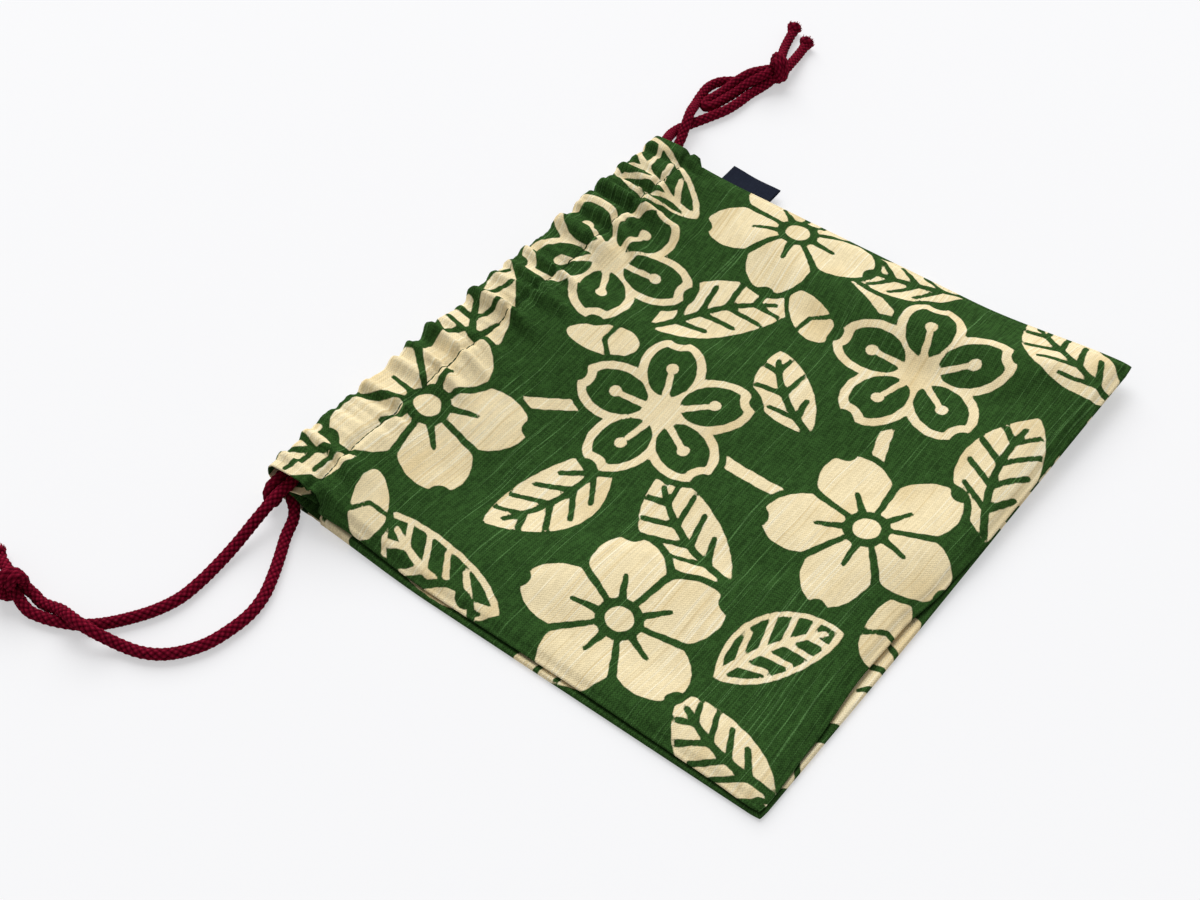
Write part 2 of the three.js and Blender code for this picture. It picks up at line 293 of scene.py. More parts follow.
    def droop(self, x: Array, y: Array) -> Array:
        """How far the left end of the mouth sinks towards the body."""
        across = ease(-np.asarray(x, float), self.droop_start, self.body_half)
        return self.mouth_droop * across * ease(y, *self.droop_rows)

    def narrowing(self, x: Array, y: Array) -> Array:
        """How far the right end of the mouth is pulled in."""
        across = ease(x, self.pull_start, self.body_half)
        return self.mouth_pull * across * ease(y, *self.pull_rows)

    def panel_half(self, y: Array) -> Array:
        """Half the width of a panel inside its rolled edges."""
        share = ease(y, self.shoulder_y, self.stitch_y)
        return lerp(self.body_half, self.mouth_half, share)


SIZES = PouchSizes()


def grid_mesh(name: str, columns: int, rows: int) -> tuple[Mesh, Array, Array]:
    """Makes a flat grid and says which column and row each of its points is in.

    Args:
        name: Name of the new mesh.
        columns: Points across.
        rows: Points along.

    Returns:
        The mesh, and the column and the row of each point.
    """
    work = bmesh.new()
    bmesh.ops.create_grid(work, x_segments=columns - 1, y_segments=rows - 1, size=1.0)
    mesh = bpy.data.meshes.new(name)
    work.to_mesh(mesh)
    work.free()
    flat = np.empty(len(mesh.vertices) * 3, np.float32)
    mesh.vertices.foreach_get("co", flat)
    flat = flat.reshape(-1, 3)
    column = np.rint((flat[:, 0] + 1.0) / 2.0 * (columns - 1)).astype(int)
    row = np.rint((flat[:, 1] + 1.0) / 2.0 * (rows - 1)).astype(int)
    return mesh, column, row


def set_points(mesh: Mesh, points: Array) -> None:
    """Moves a mesh's points to places in millimetres."""
    mesh.vertices.foreach_set("co", np.ascontiguousarray(points * MM, np.float32).ravel())
    mesh.update()


def set_value(mesh: Mesh, name: str, values: Array) -> None:
    """Stores one number for each point of a mesh."""
    layer = mesh.attributes.new(name, "FLOAT", "POINT")
    layer.data.foreach_set("value", np.ascontiguousarray(values, np.float32))


def set_place(mesh: Mesh, name: str, places: Array) -> None:
    """Stores one vector for each point of a mesh."""
    layer = mesh.attributes.new(name, "FLOAT_VECTOR", "POINT")
    layer.data.foreach_set("vector", np.ascontiguousarray(places, np.float32).ravel())


def new_piece(mesh: Mesh, material: Material) -> Piece:
    """Puts a finished mesh into the scene as a piece of the pouch.

    Args:
        mesh: The mesh, with its place in its points.
        material: Its finish.

    Returns:
        The new object, which rides on the pouch.
    """
    mesh.polygons.foreach_set("use_smooth", [True] * len(mesh.polygons))
    mesh.materials.append(material)
    piece = bpy.data.objects.new(mesh.name, mesh)
    bpy.context.scene.collection.objects.link(piece)
    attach(piece, BODY)
    return piece


def thicken(piece: Piece, thickness: float) -> None:
    """Gives a sheet its thickness, half on each side.

    Args:
        piece: The sheet.
        thickness: Its thickness in millimetres.
    """
    modifier = piece.modifiers.new("cloth thickness", "SOLIDIFY")
    modifier.thickness = thickness * MM
    modifier.offset = 0.0
    modifier.use_rim = True


# Printed pattern


def wheel(points: Array, degrees: float) -> Array:
    """Points seen from axes turned by an angle.

    Args:
        points: Flat points.
        degrees: Turn of the axes.

    Returns:
        The points along the turned axes.
    """
    angle = math.radians(degrees)
    cosine, sine = math.cos(angle), math.sin(angle)
    across = cosine * points[:, 0] + sine * points[:, 1]
    along = -sine * points[:, 0] + cosine * points[:, 1]
    return np.stack([across, along], axis=1)


def disc(points: Array, centre: Place, radius: float) -> Array:
    """Signed distance to a disc."""
    return np.linalg.norm(points - np.asarray(centre), axis=1) - radius


def ellipse(points: Array, long: float, wide: float) -> Array:
    """Signed distance, near its edge, to an ellipse.

    Args:
        points: Places to measure, from the ellipse's middle.
        long: Half its length.
        wide: Half its width.

    Returns:
        One distance for each place.
    """
    near = np.linalg.norm(points / np.array([long, wide]), axis=1)
    slope = np.linalg.norm(points / np.array([long**2, wide**2]), axis=1)
    return near * (near - 1.0) / np.maximum(slope, TINY)


def pointed_oval(points: Array, length: float, width: float) -> Array:
    """Signed distance to the overlap of two equal discs, pointed at both ends.

    Args:
        points: Places to measure, from the oval's middle.
        length: Its length from point to point.
        width: Its width.

    Returns:
        One distance for each place.
    """
    radius = (length**2 + width**2) / (4.0 * width)
    offset = radius - width / 2.0
    return np.maximum(disc(points, (0.0, offset), radius), disc(points, (0.0, -offset), radius))


def stroke(points: Array, line: Array, start: float, end: float) -> Array:
    """Signed distance to a line drawn with a tapering brush.

    Args:
        points: Places to measure.
        line: Corners of the line.
        start: Half the brush's width at the line's start.
        end: Half the brush's width at the line's end.

    Returns:
        One distance for each place.
    """
    line = np.asarray(line, float)
    count = len(line) - 1
    nearest = np.full(len(points), np.inf)
    for index in range(count):
        step = line[index + 1] - line[index]
        share = np.clip((points - line[index]) @ step / (step @ step), 0.0, 1.0)
        width = lerp(start, end, (index + share) / count)
        distance = np.linalg.norm(points - line[index] - share[:, None] * step, axis=1)
        nearest = np.minimum(nearest, distance - width)
    return nearest


def bow(end: Place, bend: float, steps: int = 10) -> Array:
    """Points of a line from the origin to an end, bowed to one side.

    Args:
        end: Where the line ends.
        bend: How far its middle is pulled to the side.
        steps: How many points it has.

    Returns:
        The points.
    """
    end = np.asarray(end, float)
    across = np.array([-end[1], end[0]]) / np.linalg.norm(end)
    middle = end / 2.0 + bend * across
    share = np.linspace(0.0, 1.0, steps)[:, None]
    return 2.0 * share * (1.0 - share) * middle + share**2 * end


def bent_wave(ahead: Array, aside: Array, rate: float, bend: float, slow: float) -> Array:
    """Sine wave along one direction, bent by a slower one along the other."""
    return np.sin(rate * ahead + bend * np.sin(slow * aside))


@dataclass(frozen=True)
class Motif:
    """One printed motif: its place on the cloth and its turn in degrees."""

    x: float
    y: float
    turn: float = 0.0

    def seen(self, points: Array, period: Array) -> Array:
        """Points of the cloth seen from the motif's nearest repeat."""
        away = points - np.array([self.x, self.y])
        return wheel(away - period * np.round(away / period), self.turn)


@dataclass(frozen=True)
class Stem(Motif):
    """A bowed stem from its place to an end."""

    reach: Pair = (40.0, 0.0)
    bend: float = 8.0
    start: float = 3.0
    end: float = 2.3

    def print_on(self, ink: "PrintField") -> None:
        """Adds the stem to the print."""
        points = self.seen(ink.points, ink.period)
        ink.add(stroke(points, bow(self.reach, self.bend), self.start, self.end))


@dataclass(frozen=True)
class Leaf(Motif):
    """A bowed leaf with a midrib and pairs of veins."""

    length: float = 60.0
    width: float = 29.0
    fill: Fill = Fill.SOLID
    veins: int = 4
    margin: float = 3.0
    outline: float = 2.3
    bowing: float = 0.1
    bow_rest: float = 0.4
    rib_end: float = 0.74
    rib_brush: Pair = (1.7, 1.3)
    first_vein: float = -0.62
    vein_run: float = 1.1
    vein_reach: float = 0.42
    vein_taper: float = 0.15
    vein_lean: float = 0.17
    vein_brush: Pair = (1.35, 1.15)
    vein_gap: float = 0.6

    def print_on(self, ink: "PrintField") -> None:
        """Adds the leaf to the print.

        Args:
            ink: The print so far.
        """
        points = self.seen(ink.points, ink.period)
        half = self.length / 2.0
        bowed = self.bowing * self.length * ((points[:, 0] / half) ** 2 - self.bow_rest)
        points = points + np.stack([np.zeros(len(points)), bowed], axis=1)
        shape = pointed_oval(points, self.length, self.width)
        ink.cut(shape - self.margin)
        ink.add(shape)
        draw = ink.cut
        if self.fill is Fill.OUTLINE:
            ink.cut(shape + self.outline)
            draw = ink.add
        rib = [(-half, 0.0), (self.rib_end * half, 0.0)]
        draw(np.maximum(stroke(points, rib, *self.rib_brush), shape))
        for vein in range(self.veins):
            at = half * (self.first_vein + self.vein_run * vein / (self.veins - 1))
            reach = self.width * (self.vein_reach - self.vein_taper * abs(at) / half)
            for hand in (-1.0, 1.0):
                line = [(at, 0.0), (at + self.vein_lean * self.length, hand * reach)]
                draw(np.maximum(stroke(points, line, *self.vein_brush), shape + self.vein_gap))


@dataclass(frozen=True)
class Bud(Motif):
    """A closed bud in its cup."""

    length: float = 28.0
    margin: float = 2.6
    taper: float = 0.35
    half_width: float = 0.3
    cup_rim: float = -0.16
    cup_root: float = -0.02
    brush: float = 1.1

    def print_on(self, ink: "PrintField") -> None:
        """Adds the bud to the print.

        Args:
            ink: The print so far.
        """
        points = self.seen(ink.points, ink.period)
        taper = 1.0 - self.taper * np.clip(points[:, 0] / self.length + 0.5, 0.0, 1.0)
        tapered = np.stack([points[:, 0], points[:, 1] / taper], axis=1)
        wide = self.half_width * self.length
        shape = ellipse(tapered, self.length / 2, wide)
        ink.cut(shape - self.margin)
        ink.add(shape)
        rim = self.cup_rim * self.length
        cup = [(rim, -wide), (self.cup_root * self.length, 0.0), (rim, wide)]
        ink.cut(stroke(points, cup, self.brush, self.brush))


@dataclass(frozen=True)
class Blossom(Motif):
    """A blossom of notched petals. Its inner sizes are shares of its radius, its brushes half widths."""

    radius: float = 36.0
    fill: Fill = Fill.SOLID
    margin: float = 3.0
    petals: int = 5
    notch: float = 0.13
    notch_middle: float = 1.08
    petal_middle: float = 0.56
    petal_half: Pair = (0.46, 0.37)
    rim: float = 0.1
    heart: float = 0.2
    stamen_end: float = 0.5
    stamen_brush: Pair = (1.7, 1.2)
    bead_middle: float = 0.58
    bead: float = 0.07
    parting: Pair = (0.2, 0.72)
    parting_brush: Pair = (1.2, 1.7)
    ring: float = 0.24
    eye: float = 0.14
    ray_brush: Pair = (1.6, 1.0)

    @property
    def turns(self) -> list[float]:
        """Direction of each petal in degrees."""
        return [360.0 / self.petals * petal for petal in range(self.petals)]

    def outline(self, points: Array, notch: float) -> Array:
        """Signed distance to the petals, each with a round notch in its tip.

        Args:
            points: Places to measure, from the blossom's middle.
            notch: Radius of the notches, as a share of the blossom's.

        Returns:
            One distance for each place.
        """
        nearest = np.full(len(points), np.inf)
        for turn in self.turns:
            seen = wheel(points, turn) / self.radius
            oval = ellipse(seen - np.array([self.petal_middle, 0.0]), *self.petal_half)
            petal = np.maximum(oval, -disc(seen, (self.notch_middle, 0.0), notch))
            nearest = np.minimum(nearest, self.radius * petal)
        return nearest

    def dot(self, points: Array, middle: float, radius: float) -> Array:
        """Signed distance to a disc, by shares of the blossom's radius."""
        return disc(points, (middle * self.radius, 0.0), radius * self.radius)

    def ray(self, points: Array, start: float, end: float, brush: Place) -> Array:
        """Signed distance to a line outwards from the middle, by shares of the blossom's radius."""
        return stroke(points, [(start * self.radius, 0.0), (end * self.radius, 0.0)], *brush)

    def print_on(self, ink: "PrintField") -> None:
        """Adds the blossom to the print.

        Args:
            ink: The print so far.
        """
        points = self.seen(ink.points, ink.period)
        shape = self.outline(points, self.notch)
        ink.cut(self.outline(points, 0.0) - self.margin)
        ink.add(shape)
        if self.fill is Fill.OUTLINE:
            ink.cut(shape + self.rim * self.radius)
            ink.add(self.dot(points, 0.0, self.heart))
            for turn in self.turns:
                seen = wheel(points, turn)
                ink.add(self.ray(seen, 0.0, self.stamen_end, self.stamen_brush))
                ink.add(self.dot(seen, self.bead_middle, self.bead))
            return
        for turn in self.turns:
            seen = wheel(points, turn + 180.0 / self.petals)
            ink.cut(self.ray(seen, *self.parting, self.parting_brush))
        ink.cut(self.dot(points, 0.0, self.ring))
        ink.add(self.dot(points, 0.0, self.eye))
        for turn in self.turns:
            ink.cut(self.ray(wheel(points, turn), self.ring, self.stamen_end, self.ray_brush))


@dataclass
class PrintField:
    """The pale part of the print, as a signed distance at each point of the cloth."""

    points: Array
    period: Array
    bare: float = 20.0
    pale: Array = field(init=False)

    def __post_init__(self) -> None:
        """Starts from bare ground."""
        self.pale = np.full(len(self.points), self.bare)

    def add(self, distance: Array) -> None:
        """Makes the inside of a shape pale."""
        self.pale = np.minimum(self.pale, distance)

    def cut(self, distance: Array) -> None:
        """Makes the inside of a shape ground again."""
        self.pale = np.maximum(self.pale, -distance)


@dataclass(frozen=True)
class BlossomPrint:
    """A repeating print of blossoms, leaves and buds on stems."""

    repeat: Pair = (268.0, 252.0)
    stems: tuple[Stem, ...] = (
        Stem(-62, 88, reach=(58, -70), bend=12),
        Stem(-4, 18, reach=(-2, -96), bend=-10),
        Stem(-6, -78, reach=(80, 28), bend=10),
        Stem(74, -50, reach=(38, 84), bend=-10),
        Stem(-92, -30, reach=(88, 48), bend=-10),
        Stem(-62, 88, reach=(-50, 22), bend=-6),
        Stem(-62, 88, reach=(56, 18), bend=-6),
        Stem(-6, -78, reach=(52, -28), bend=7),
        Stem(74, -50, reach=(38, -44), bend=-7),
    )
    leaves: tuple[Leaf, ...] = (
        Leaf(-110, 112, 122, length=56, width=28),
        Leaf(-8, 106, 30, length=62, width=31),
        Leaf(104, 100, 62, length=62, width=31, fill=Fill.OUTLINE),
        Leaf(-60, 26, 165, length=60, width=30),
        Leaf(54, 32, -38, length=62, width=31),
        Leaf(-118, 36, 82, length=62, width=30, fill=Fill.OUTLINE),
        Leaf(-44, -24, 62, length=58, width=29),
        Leaf(34, -15, 49, length=46, width=23, veins=3),
        Leaf(116, -16, 104, length=56, width=27),
        Leaf(-68, -83, -35, length=52, width=29, fill=Fill.OUTLINE),
        Leaf(46, -104, 12, length=62, width=30),
        Leaf(114, -94, 62, length=60, width=30),
        Leaf(-114, -90, 76, length=52, width=26),
    )
    buds: tuple[Bud, ...] = (
        Bud(10, 58, 112, length=30),
        Bud(74, 2, 58, length=30),
        Bud(-38, -112, 14, length=32),
        Bud(-112, 74, 30, length=30),
    )
    blossoms: tuple[Blossom, ...] = (
        Blossom(-62, 88, 12, radius=39),
        Blossom(48, 84, -8, radius=36, fill=Fill.OUTLINE),
        Blossom(-4, 18, 25, radius=36, fill=Fill.OUTLINE),
        Blossom(112, 34, 50, radius=37),
        Blossom(-92, -30, 30, radius=38),
        Blossom(-6, -78, 44, radius=38),
        Blossom(74, -50, 20, radius=37, fill=Fill.OUTLINE),
    )
    wobble: float = 0.2
    wobble_across: tuple[float, float, float] = (0.9, 1.7, 0.31)
    wobble_along: tuple[float, float, float] = (0.8, 1.3, 0.27)

    def distance(self, places: Array) -> Array:
        """Signed distance to the pale part of the print.

        Args:
            places: Points of the flat cloth.

        Returns:
            One distance for each point, below zero where the cloth is pale.
        """
        ink = PrintField(places, np.array(self.repeat))
        for motif in (*self.stems, *self.leaves, *self.buds, *self.blossoms):
            motif.print_on(ink)
        across, along = places[:, 0], places[:, 1]
        ripple = bent_wave(across, along, *self.wobble_across)
        ripple = ripple * bent_wave(along, across, *self.wobble_along)
        return ink.pale + self.wobble * ripple


# Cloth panels


@dataclass(frozen=True)
class Pleats:
    """One layer of the uneven pleats that the drawn cord leaves along a mouth edge."""

    height: float
    seed: int
    half_width: Pair
    length: Pair
    share: Pair = (0.25, 1.0)
    drift: float = 0.16
    spread: float = 45.0
    roundness: float = 1.6
    lean: float = 0.3

    def rise(self, across: Array, y: Array) -> Array:
        """How far the cloth stands up in these pleats.

        Args:
            across: Places across the flat cloth.
            y: Places along the pouch.

        Returns:
            One height for each place.
        """
        draw = np.random.default_rng(self.seed)
        below = np.maximum(0.0, SIZES.stitch_y - y)
        total = np.zeros(len(across))
        reach = SIZES.body_half + self.half_width[1]
        centre = -reach
        while centre < reach:
            half = draw.uniform(*self.half_width)
            share = draw.uniform(*self.share)
            length = draw.uniform(*self.length)
            drift = draw.uniform(-self.drift, self.drift)
            centre += half
            wide = half * (1.0 + below / self.spread)
            away = (across - centre - drift * (SIZES.mouth_y - y)) / wide
            away = away + self.lean * (away * away - 1.0)
            pleat = np.clip(1.0 - away * away, 0.0, None) ** self.roundness
            total += share * pleat * (1.0 - ease(below, 0.0, length))
            centre += half
        return self.height * total


@dataclass(frozen=True)
class Crease:
    """A soft fold left in the loose cloth, with a gentle left side and a steeper right one."""

    line: tuple[Pair, ...]
    height: float
    left: float = 18.0
    right: float = 6.0
    fade: float = 26.0

    def rise(self, x: Array, y: Array) -> Array:
        """How far the cloth stands up in this fold.

        Args:
            x: Places across the pouch.
            y: Places along it.

        Returns:
            One height for each place.
        """
        away = x - eased_list(y, self.line)
        slope = bell(away / np.where(away < 0.0, self.left, self.right), 1.0)
        low, high = self.line[0][0], self.line[-1][0]
        return self.height * slope * ease(y, low, low + self.fade) * ease(-y, -high, self.fade - high)


@dataclass
class ClothPanel:
    """One printed panel: its folded hem, its gathers, its body and its rolled edges."""

    side: Side
    pleats: Sequence[Pleats]
    print_shift: Pair
    inset: Sequence[Pair]
    land: float
    creases: Sequence[Crease] = ()
    body_step: float = 1.32
    rim_step: float = 0.55
    fold_step: float = 0.75
    hem_steps: float = 2.0
    gather_steps: float = 0.8
    inset_reach: float = 40.0
    scallop: float = 0.32
    waves: float = 1.1
    flat_margin: float = 22.0
    corner: float = 0.75
    stitch_hold: float = 0.42
    stitch_tuck: float = 0.3
    stitch_groove: float = 1.3
    pillow: float = 3.4
    pillow_reach: float = 5.5
    pillow_lip: float = 2.6
    pillow_left: float = 0.4
    pillow_grows: Pair = (-70.0, 40.0)
    edge_drop: float = 0.9
    land_slope: float = 0.3
    weft_bow: float = 10.0
    weft_rows: Pair = (-100.0, -10.0)
    probe: float = 0.4

    @property
    def sign(self) -> float:
        """Which way the panel's outer face looks, up or down."""
        return float(self.side.value)

    @property
    def rim(self) -> float:
        """Cloth from the body's edge round the roll to the end of the seam's land."""
        flat = SIZES.corner_radius - SIZES.seam_radius
        return flat + math.pi * SIZES.seam_radius + self.land

    @property
    def fold_start(self) -> float:
        """Cloth from the hem's free edge to the start of the mouth fold."""
        return SIZES.outer_cord_y - SIZES.stitch_y + SIZES.hem_edge

    @property
    def fold_end(self) -> float:
        """Cloth from the hem's free edge to the end of the mouth fold."""
        return self.fold_start + math.pi * SIZES.fold_radius

    @property
    def bottom(self) -> float:
        """Cloth from the hem's free edge to the start of the rolled bottom edge."""
        return self.fold_end + SIZES.outer_cord_y - SIZES.body_bottom_y

    @property
    def flat_size(self) -> Pair:
        """Width and length that the panel is cut to."""
        return 2.0 * (SIZES.body_half + self.rim), self.bottom + self.rim

    def cloth_at(self, y: float) -> float:
        """Cloth from the hem's free edge to a place on the outer layer."""
        return self.fold_end + SIZES.outer_cord_y - y

    def perimeter(self, x: Array, y: Array) -> Array:
        """Way round the seam from the left slit, for places near the panel's edge.

        Args:
            x: Places across the pouch.
            y: Places along it.

        Returns:
            One distance along the seam for each place.
        """
        side = SIZES.slit_y - SIZES.body_bottom_y
        left = SIZES.slit_y - y
        bottom = side + SIZES.body_half + x
        right = side + 2.0 * SIZES.body_half + y - SIZES.body_bottom_y
        low = y - SIZES.body_bottom_y < SIZES.body_half - np.abs(x)
        return np.where(low, bottom, np.where(x < 0.0, left, right))

    def body_waves(self, x: Array, y: Array) -> Array:
        """Soft rise and fall of cloth that was folded and lies loose.

        Args:
            x: Places across the pouch.
            y: Places along it.

        Returns:
            One height for each place.
        """
        # Three crossed waves: lengths and slants in millimetres, starts in radians
        first = np.sin(x / 23.0 + 0.6 * np.sin(y / 31.0)) * np.sin(y / 37.0 + 0.8)
        second = np.sin((x + 1.6 * y) / 29.0 + 1.1) * np.sin((x - 0.7 * y) / 41.0)
        third = np.sin(x / 11.0 + 0.9 * np.sin(y / 44.0) + 0.5) * np.sin(y / 53.0 + x / 60.0)
        edge = ease(SIZES.body_half - np.abs(x), 0.0, self.flat_margin)
        edge = edge * ease(y - SIZES.body_bottom_y, 0.0, self.flat_margin)
        swell = self.waves * (first + 0.8 * second + third) * (1.0 - SIZES.gather_share(y))
        return edge * (swell + sum(crease.rise(x, y) for crease in self.creases))

    def pillowed(self, x: Array, y: Array) -> Array:
        """Rise of the loose cloth from the rolled edges to the middle of the body.

        Args:
            x: Places across the pouch.
            y: Places along it.

        Returns:
            One rise for each place.
        """
        inside = np.minimum(SIZES.panel_half(y) - np.abs(x), y - SIZES.body_bottom_y)
        fill = 1.0 - np.exp(-(np.maximum(inside, 0.0) + self.pillow_lip) / self.pillow_reach)
        share = lerp(self.pillow_left, 1.0, ease(x, *self.pillow_grows))
        return self.pillow * fill * share * (1.0 - SIZES.gather_share(y))

    def points(self, across: Array, along: Array) -> Array:
        """Places of the cloth's middle surface as the pouch lies.

        Args:
            across: Places across the flat cloth, from its middle.
            along: Places along the flat cloth, from the hem's free edge.

        Returns:
            One point in millimetres for each place.
        """
        inner = np.clip(across, -SIZES.body_half, SIZES.body_half)
        hand = np.sign(across)
        beyond = np.maximum(0.0, np.abs(across) - SIZES.body_half)
        under = np.maximum(0.0, along - self.bottom)
        run = np.minimum(along, self.bottom)
        hem = run < self.fold_start
        fold = (run >= self.fold_start) & (run <= self.fold_end)
        y = np.where(hem, SIZES.stitch_y - SIZES.hem_edge + run, SIZES.outer_cord_y + self.fold_end - run)
        y = np.where(fold, SIZES.outer_cord_y, y)
        turn = np.clip((run - self.fold_start) / SIZES.fold_radius, 0.0, math.pi) - math.pi / 2
        x = inner / SIZES.body_half * SIZES.panel_half(y)
        outer = SIZES.outer_z(self.side, x, y)
        rise = sum(layer.rise(inner, y) for layer in self.pleats)
        rise = rise * (1.0 - self.stitch_hold * bell(y - SIZES.stitch_y, self.stitch_groove))
        forward, up = np.cos(turn), np.sin(turn)
        z = outer + self.sign * rise
        if self.side is Side.FRONT:
            share = np.clip((y - SIZES.body_bottom_y) / (SIZES.stitch_y - SIZES.body_bottom_y), 0.0, 1.0)
            sag = 4.0 * SIZES.panel_sag * share * (1.0 - share) * (1.0 - (x / SIZES.panel_half(y)) ** 4)
            z = z - sag + self.body_waves(x, y) + self.pillowed(x, y)
        z = z - self.sign * self.stitch_tuck * bell(y - SIZES.stitch_y, self.stitch_groove)
        fold_z = outer - self.sign * SIZES.fold_radius * (1.0 - up) + self.sign * rise * np.maximum(0.0, up)
        z = np.where(fold, fold_z, z)
        z = np.where(hem, outer - self.sign * SIZES.hem_spacing(y), z)
        y = np.where(fold, y + (SIZES.fold_radius + self.scallop * rise) * forward, y)
        base = np.stack([x, y, z], axis=1)
        straight = base + np.stack([hand * beyond, np.zeros(len(x)), np.zeros(len(x))], axis=1)
        above = along < self.cloth_at(SIZES.slit_y) - TINY
        placed = np.where(above[:, None], straight, self.rolled(base, hand, beyond, under))
        placed[:, 0] -= SIZES.narrowing(x, y)
        placed[:, 1] -= SIZES.droop(x, y)
        placed[:, 2] = np.maximum(placed[:, 2], SIZES.cloth / 2)
        return self.drawn_in(placed, x, y)

    def rolled(self, base: Array, hand: Array, beyond: Array, under: Array) -> Array:
        """Rolls the cloth past the body's edge round to its seam.

        Args:
            base: Points of the body, or of its edge for the cloth past it.
            hand: Side of each point, -1 left or 1 right.
            beyond: Cloth past the body's side edges.
            under: Cloth past the body's bottom edge.

        Returns:
            The points with their rolled edges.
        """
        run = np.maximum(beyond, under)
        safe = np.maximum(run, TINY)
        wide = np.where(beyond >= under, under / safe, 2.0 - beyond / safe) * math.pi / 4.0
        radius = SIZES.seam_radius
        flat = SIZES.corner_radius - radius
        angle = np.clip((run - flat) / radius, 0.0, math.pi)
        back = np.maximum(0.0, run - flat - math.pi * radius)
        reach = np.minimum(run, flat) + radius * np.sin(angle) - back
        squared = reach / np.maximum(np.cos(wide), np.sin(wide)) ** self.corner
        x = base[:, 0] + hand * np.cos(wide) * squared
        y = base[:, 1] - np.sin(wide) * squared
        outer = SIZES.outer_z(self.side, x, y)
        fall = ease(run, 0.0, flat)
        kept = (base[:, 2] - SIZES.outer_z(self.side, base[:, 0], base[:, 1])) * (1.0 - fall)
        if self.side is Side.FRONT:
            kept = kept - self.edge_drop * fall
        land = SIZES.seam_z(x, y) + self.sign * SIZES.layer_step / 2.0
        if self.side is Side.BACK:
            land = np.maximum(land - self.land_slope * back, outer + SIZES.layer_step)
        z = lerp(land, outer + kept, (1.0 + np.cos(angle)) / 2.0)
        return np.where((run > 0.0)[:, None], np.stack([x, y, z], axis=1), base)

    def drawn_in(self, points: Array, x: Array, y: Array) -> Array:
        """Draws the panel's edge in from the other panel's, as the seam rolls to one side.

        Args:
            points: Points of the panel.
            x: Their places in the body, across.
            y: Their places in the body, along.

        Returns:
            The moved points.
        """
        inset = eased_list(self.perimeter(x, y), self.inset)
        side = inset * ease(np.abs(x) - SIZES.panel_half(y), -self.inset_reach, 0.0)
        side = side * ease(SIZES.mouth_y - y, SIZES.channel_depth, 2.0 * SIZES.channel_depth)
        bottom = inset * ease(SIZES.body_bottom_y - y, -self.inset_reach, 0.0)
        moved = points.copy()
        moved[:, 0] -= np.sign(x) * side
        moved[:, 1] += bottom
        return moved

    def stops(self) -> tuple[Array, Array]:
        """Places on the flat cloth where the mesh has its columns and rows.

        Returns:
            The places across, and the places along.
        """

        def spread(start: float, end: float, step: float) -> Array:
            """Even places from a start to an end, about a step apart."""
            return np.linspace(start, end, max(2, int(round(abs(end - start) / step)) + 1))

        half = SIZES.body_half
        middle = spread(-half, half, self.body_step)
        edge = spread(half, half + self.rim, self.rim_step)[1:]
        across = np.concatenate([-edge[::-1], middle, edge])
        slit = self.cloth_at(SIZES.slit_y)
        along = np.concatenate([
            spread(0.0, self.fold_start, self.hem_steps * self.body_step),
            spread(self.fold_start, self.fold_end, self.fold_step)[1:],
            spread(self.fold_end, slit, self.gather_steps * self.body_step)[1:],
            spread(slit, self.bottom, self.body_step)[1:],
            spread(self.bottom, self.bottom + self.rim, self.rim_step)[1:],
        ])
        return across, along

    def build(self, name: str, design: BlossomPrint, material: Material) -> Piece:
        """Makes the panel.

        Args:
            name: Name of the piece.
            design: The print on the cloth.
            material: The cloth's finish.

        Returns:
            The panel as a thick sheet.
        """
        across_stops, along_stops = self.stops()
        mesh, column, row = grid_mesh(name, len(across_stops), len(along_stops))
        across = across_stops[column]
        along = along_stops[::-1][row]
        set_points(mesh, self.points(across, along))
        flat = np.stack([across, SIZES.outer_cord_y + self.fold_end - along, np.zeros(len(across))], axis=1)
        set_place(mesh, "cloth_place", self.woven_place(flat))
        set_value(mesh, "print_distance", design.distance(flat[:, :2] + np.array(self.print_shift)))
        self.open_slits(mesh, across, along)
        piece = new_piece(mesh, material)
        thicken(piece, SIZES.cloth)
        return piece

    def woven_place(self, flat: Array) -> Array:
        """Places on the flat cloth by its threads, whose weft bows towards the mouth on the right.

        Args:
            flat: Places on the flat cloth.

        Returns:
            The same places, counted along the bowed weft.
        """
        across = np.maximum(0.0, flat[:, 0] / SIZES.body_half)
        bowed = flat.copy()
        bowed[:, 1] -= self.weft_bow * across**2 * ease(flat[:, 1], *self.weft_rows)
        return bowed

    def open_slits(self, mesh: Mesh, across: Array, along: Array) -> None:
        """Takes away the cloth past the hem's ends, and turns the faces outwards.

        Args:
            mesh: The panel's mesh.
            across: Each point's place across the flat cloth.
            along: Each point's place along it.
        """
        slit = self.cloth_at(SIZES.slit_y)
        work = bmesh.new()
        work.from_mesh(mesh)
        end = SIZES.body_half + SIZES.corner_radius - SIZES.seam_radius
        spare = (np.abs(across) > end + TINY) & (along < slit - TINY)
        work.verts.ensure_lookup_table()
        gone = [work.verts[index] for index in np.nonzero(spare)[0]]
        bmesh.ops.delete(work, geom=gone, context="VERTS")
        if self.side is Side.BACK:
            bmesh.ops.reverse_faces(work, faces=work.faces[:])
        work.to_mesh(mesh)
        work.free()

    def frame_at(self, across: Array, along: Array) -> tuple[Array, Array, Array]:
        """Points of the cloth with its direction across and its outward normal there.

        Args:
            across: Places across the flat cloth.
            along: Places along it.

        Returns:
            The points, the directions and the normals.
        """
        step = self.probe
        points = self.points(across, along)
        right = self.points(across + step, along) - self.points(across - step, along)
        down = self.points(across, along + step) - self.points(across, along - step)
        right /= np.linalg.norm(right, axis=1, keepdims=True)
        normal = np.cross(down, right)
        normal /= np.linalg.norm(normal, axis=1, keepdims=True)
        return points, right, normal * self.sign


# Cords


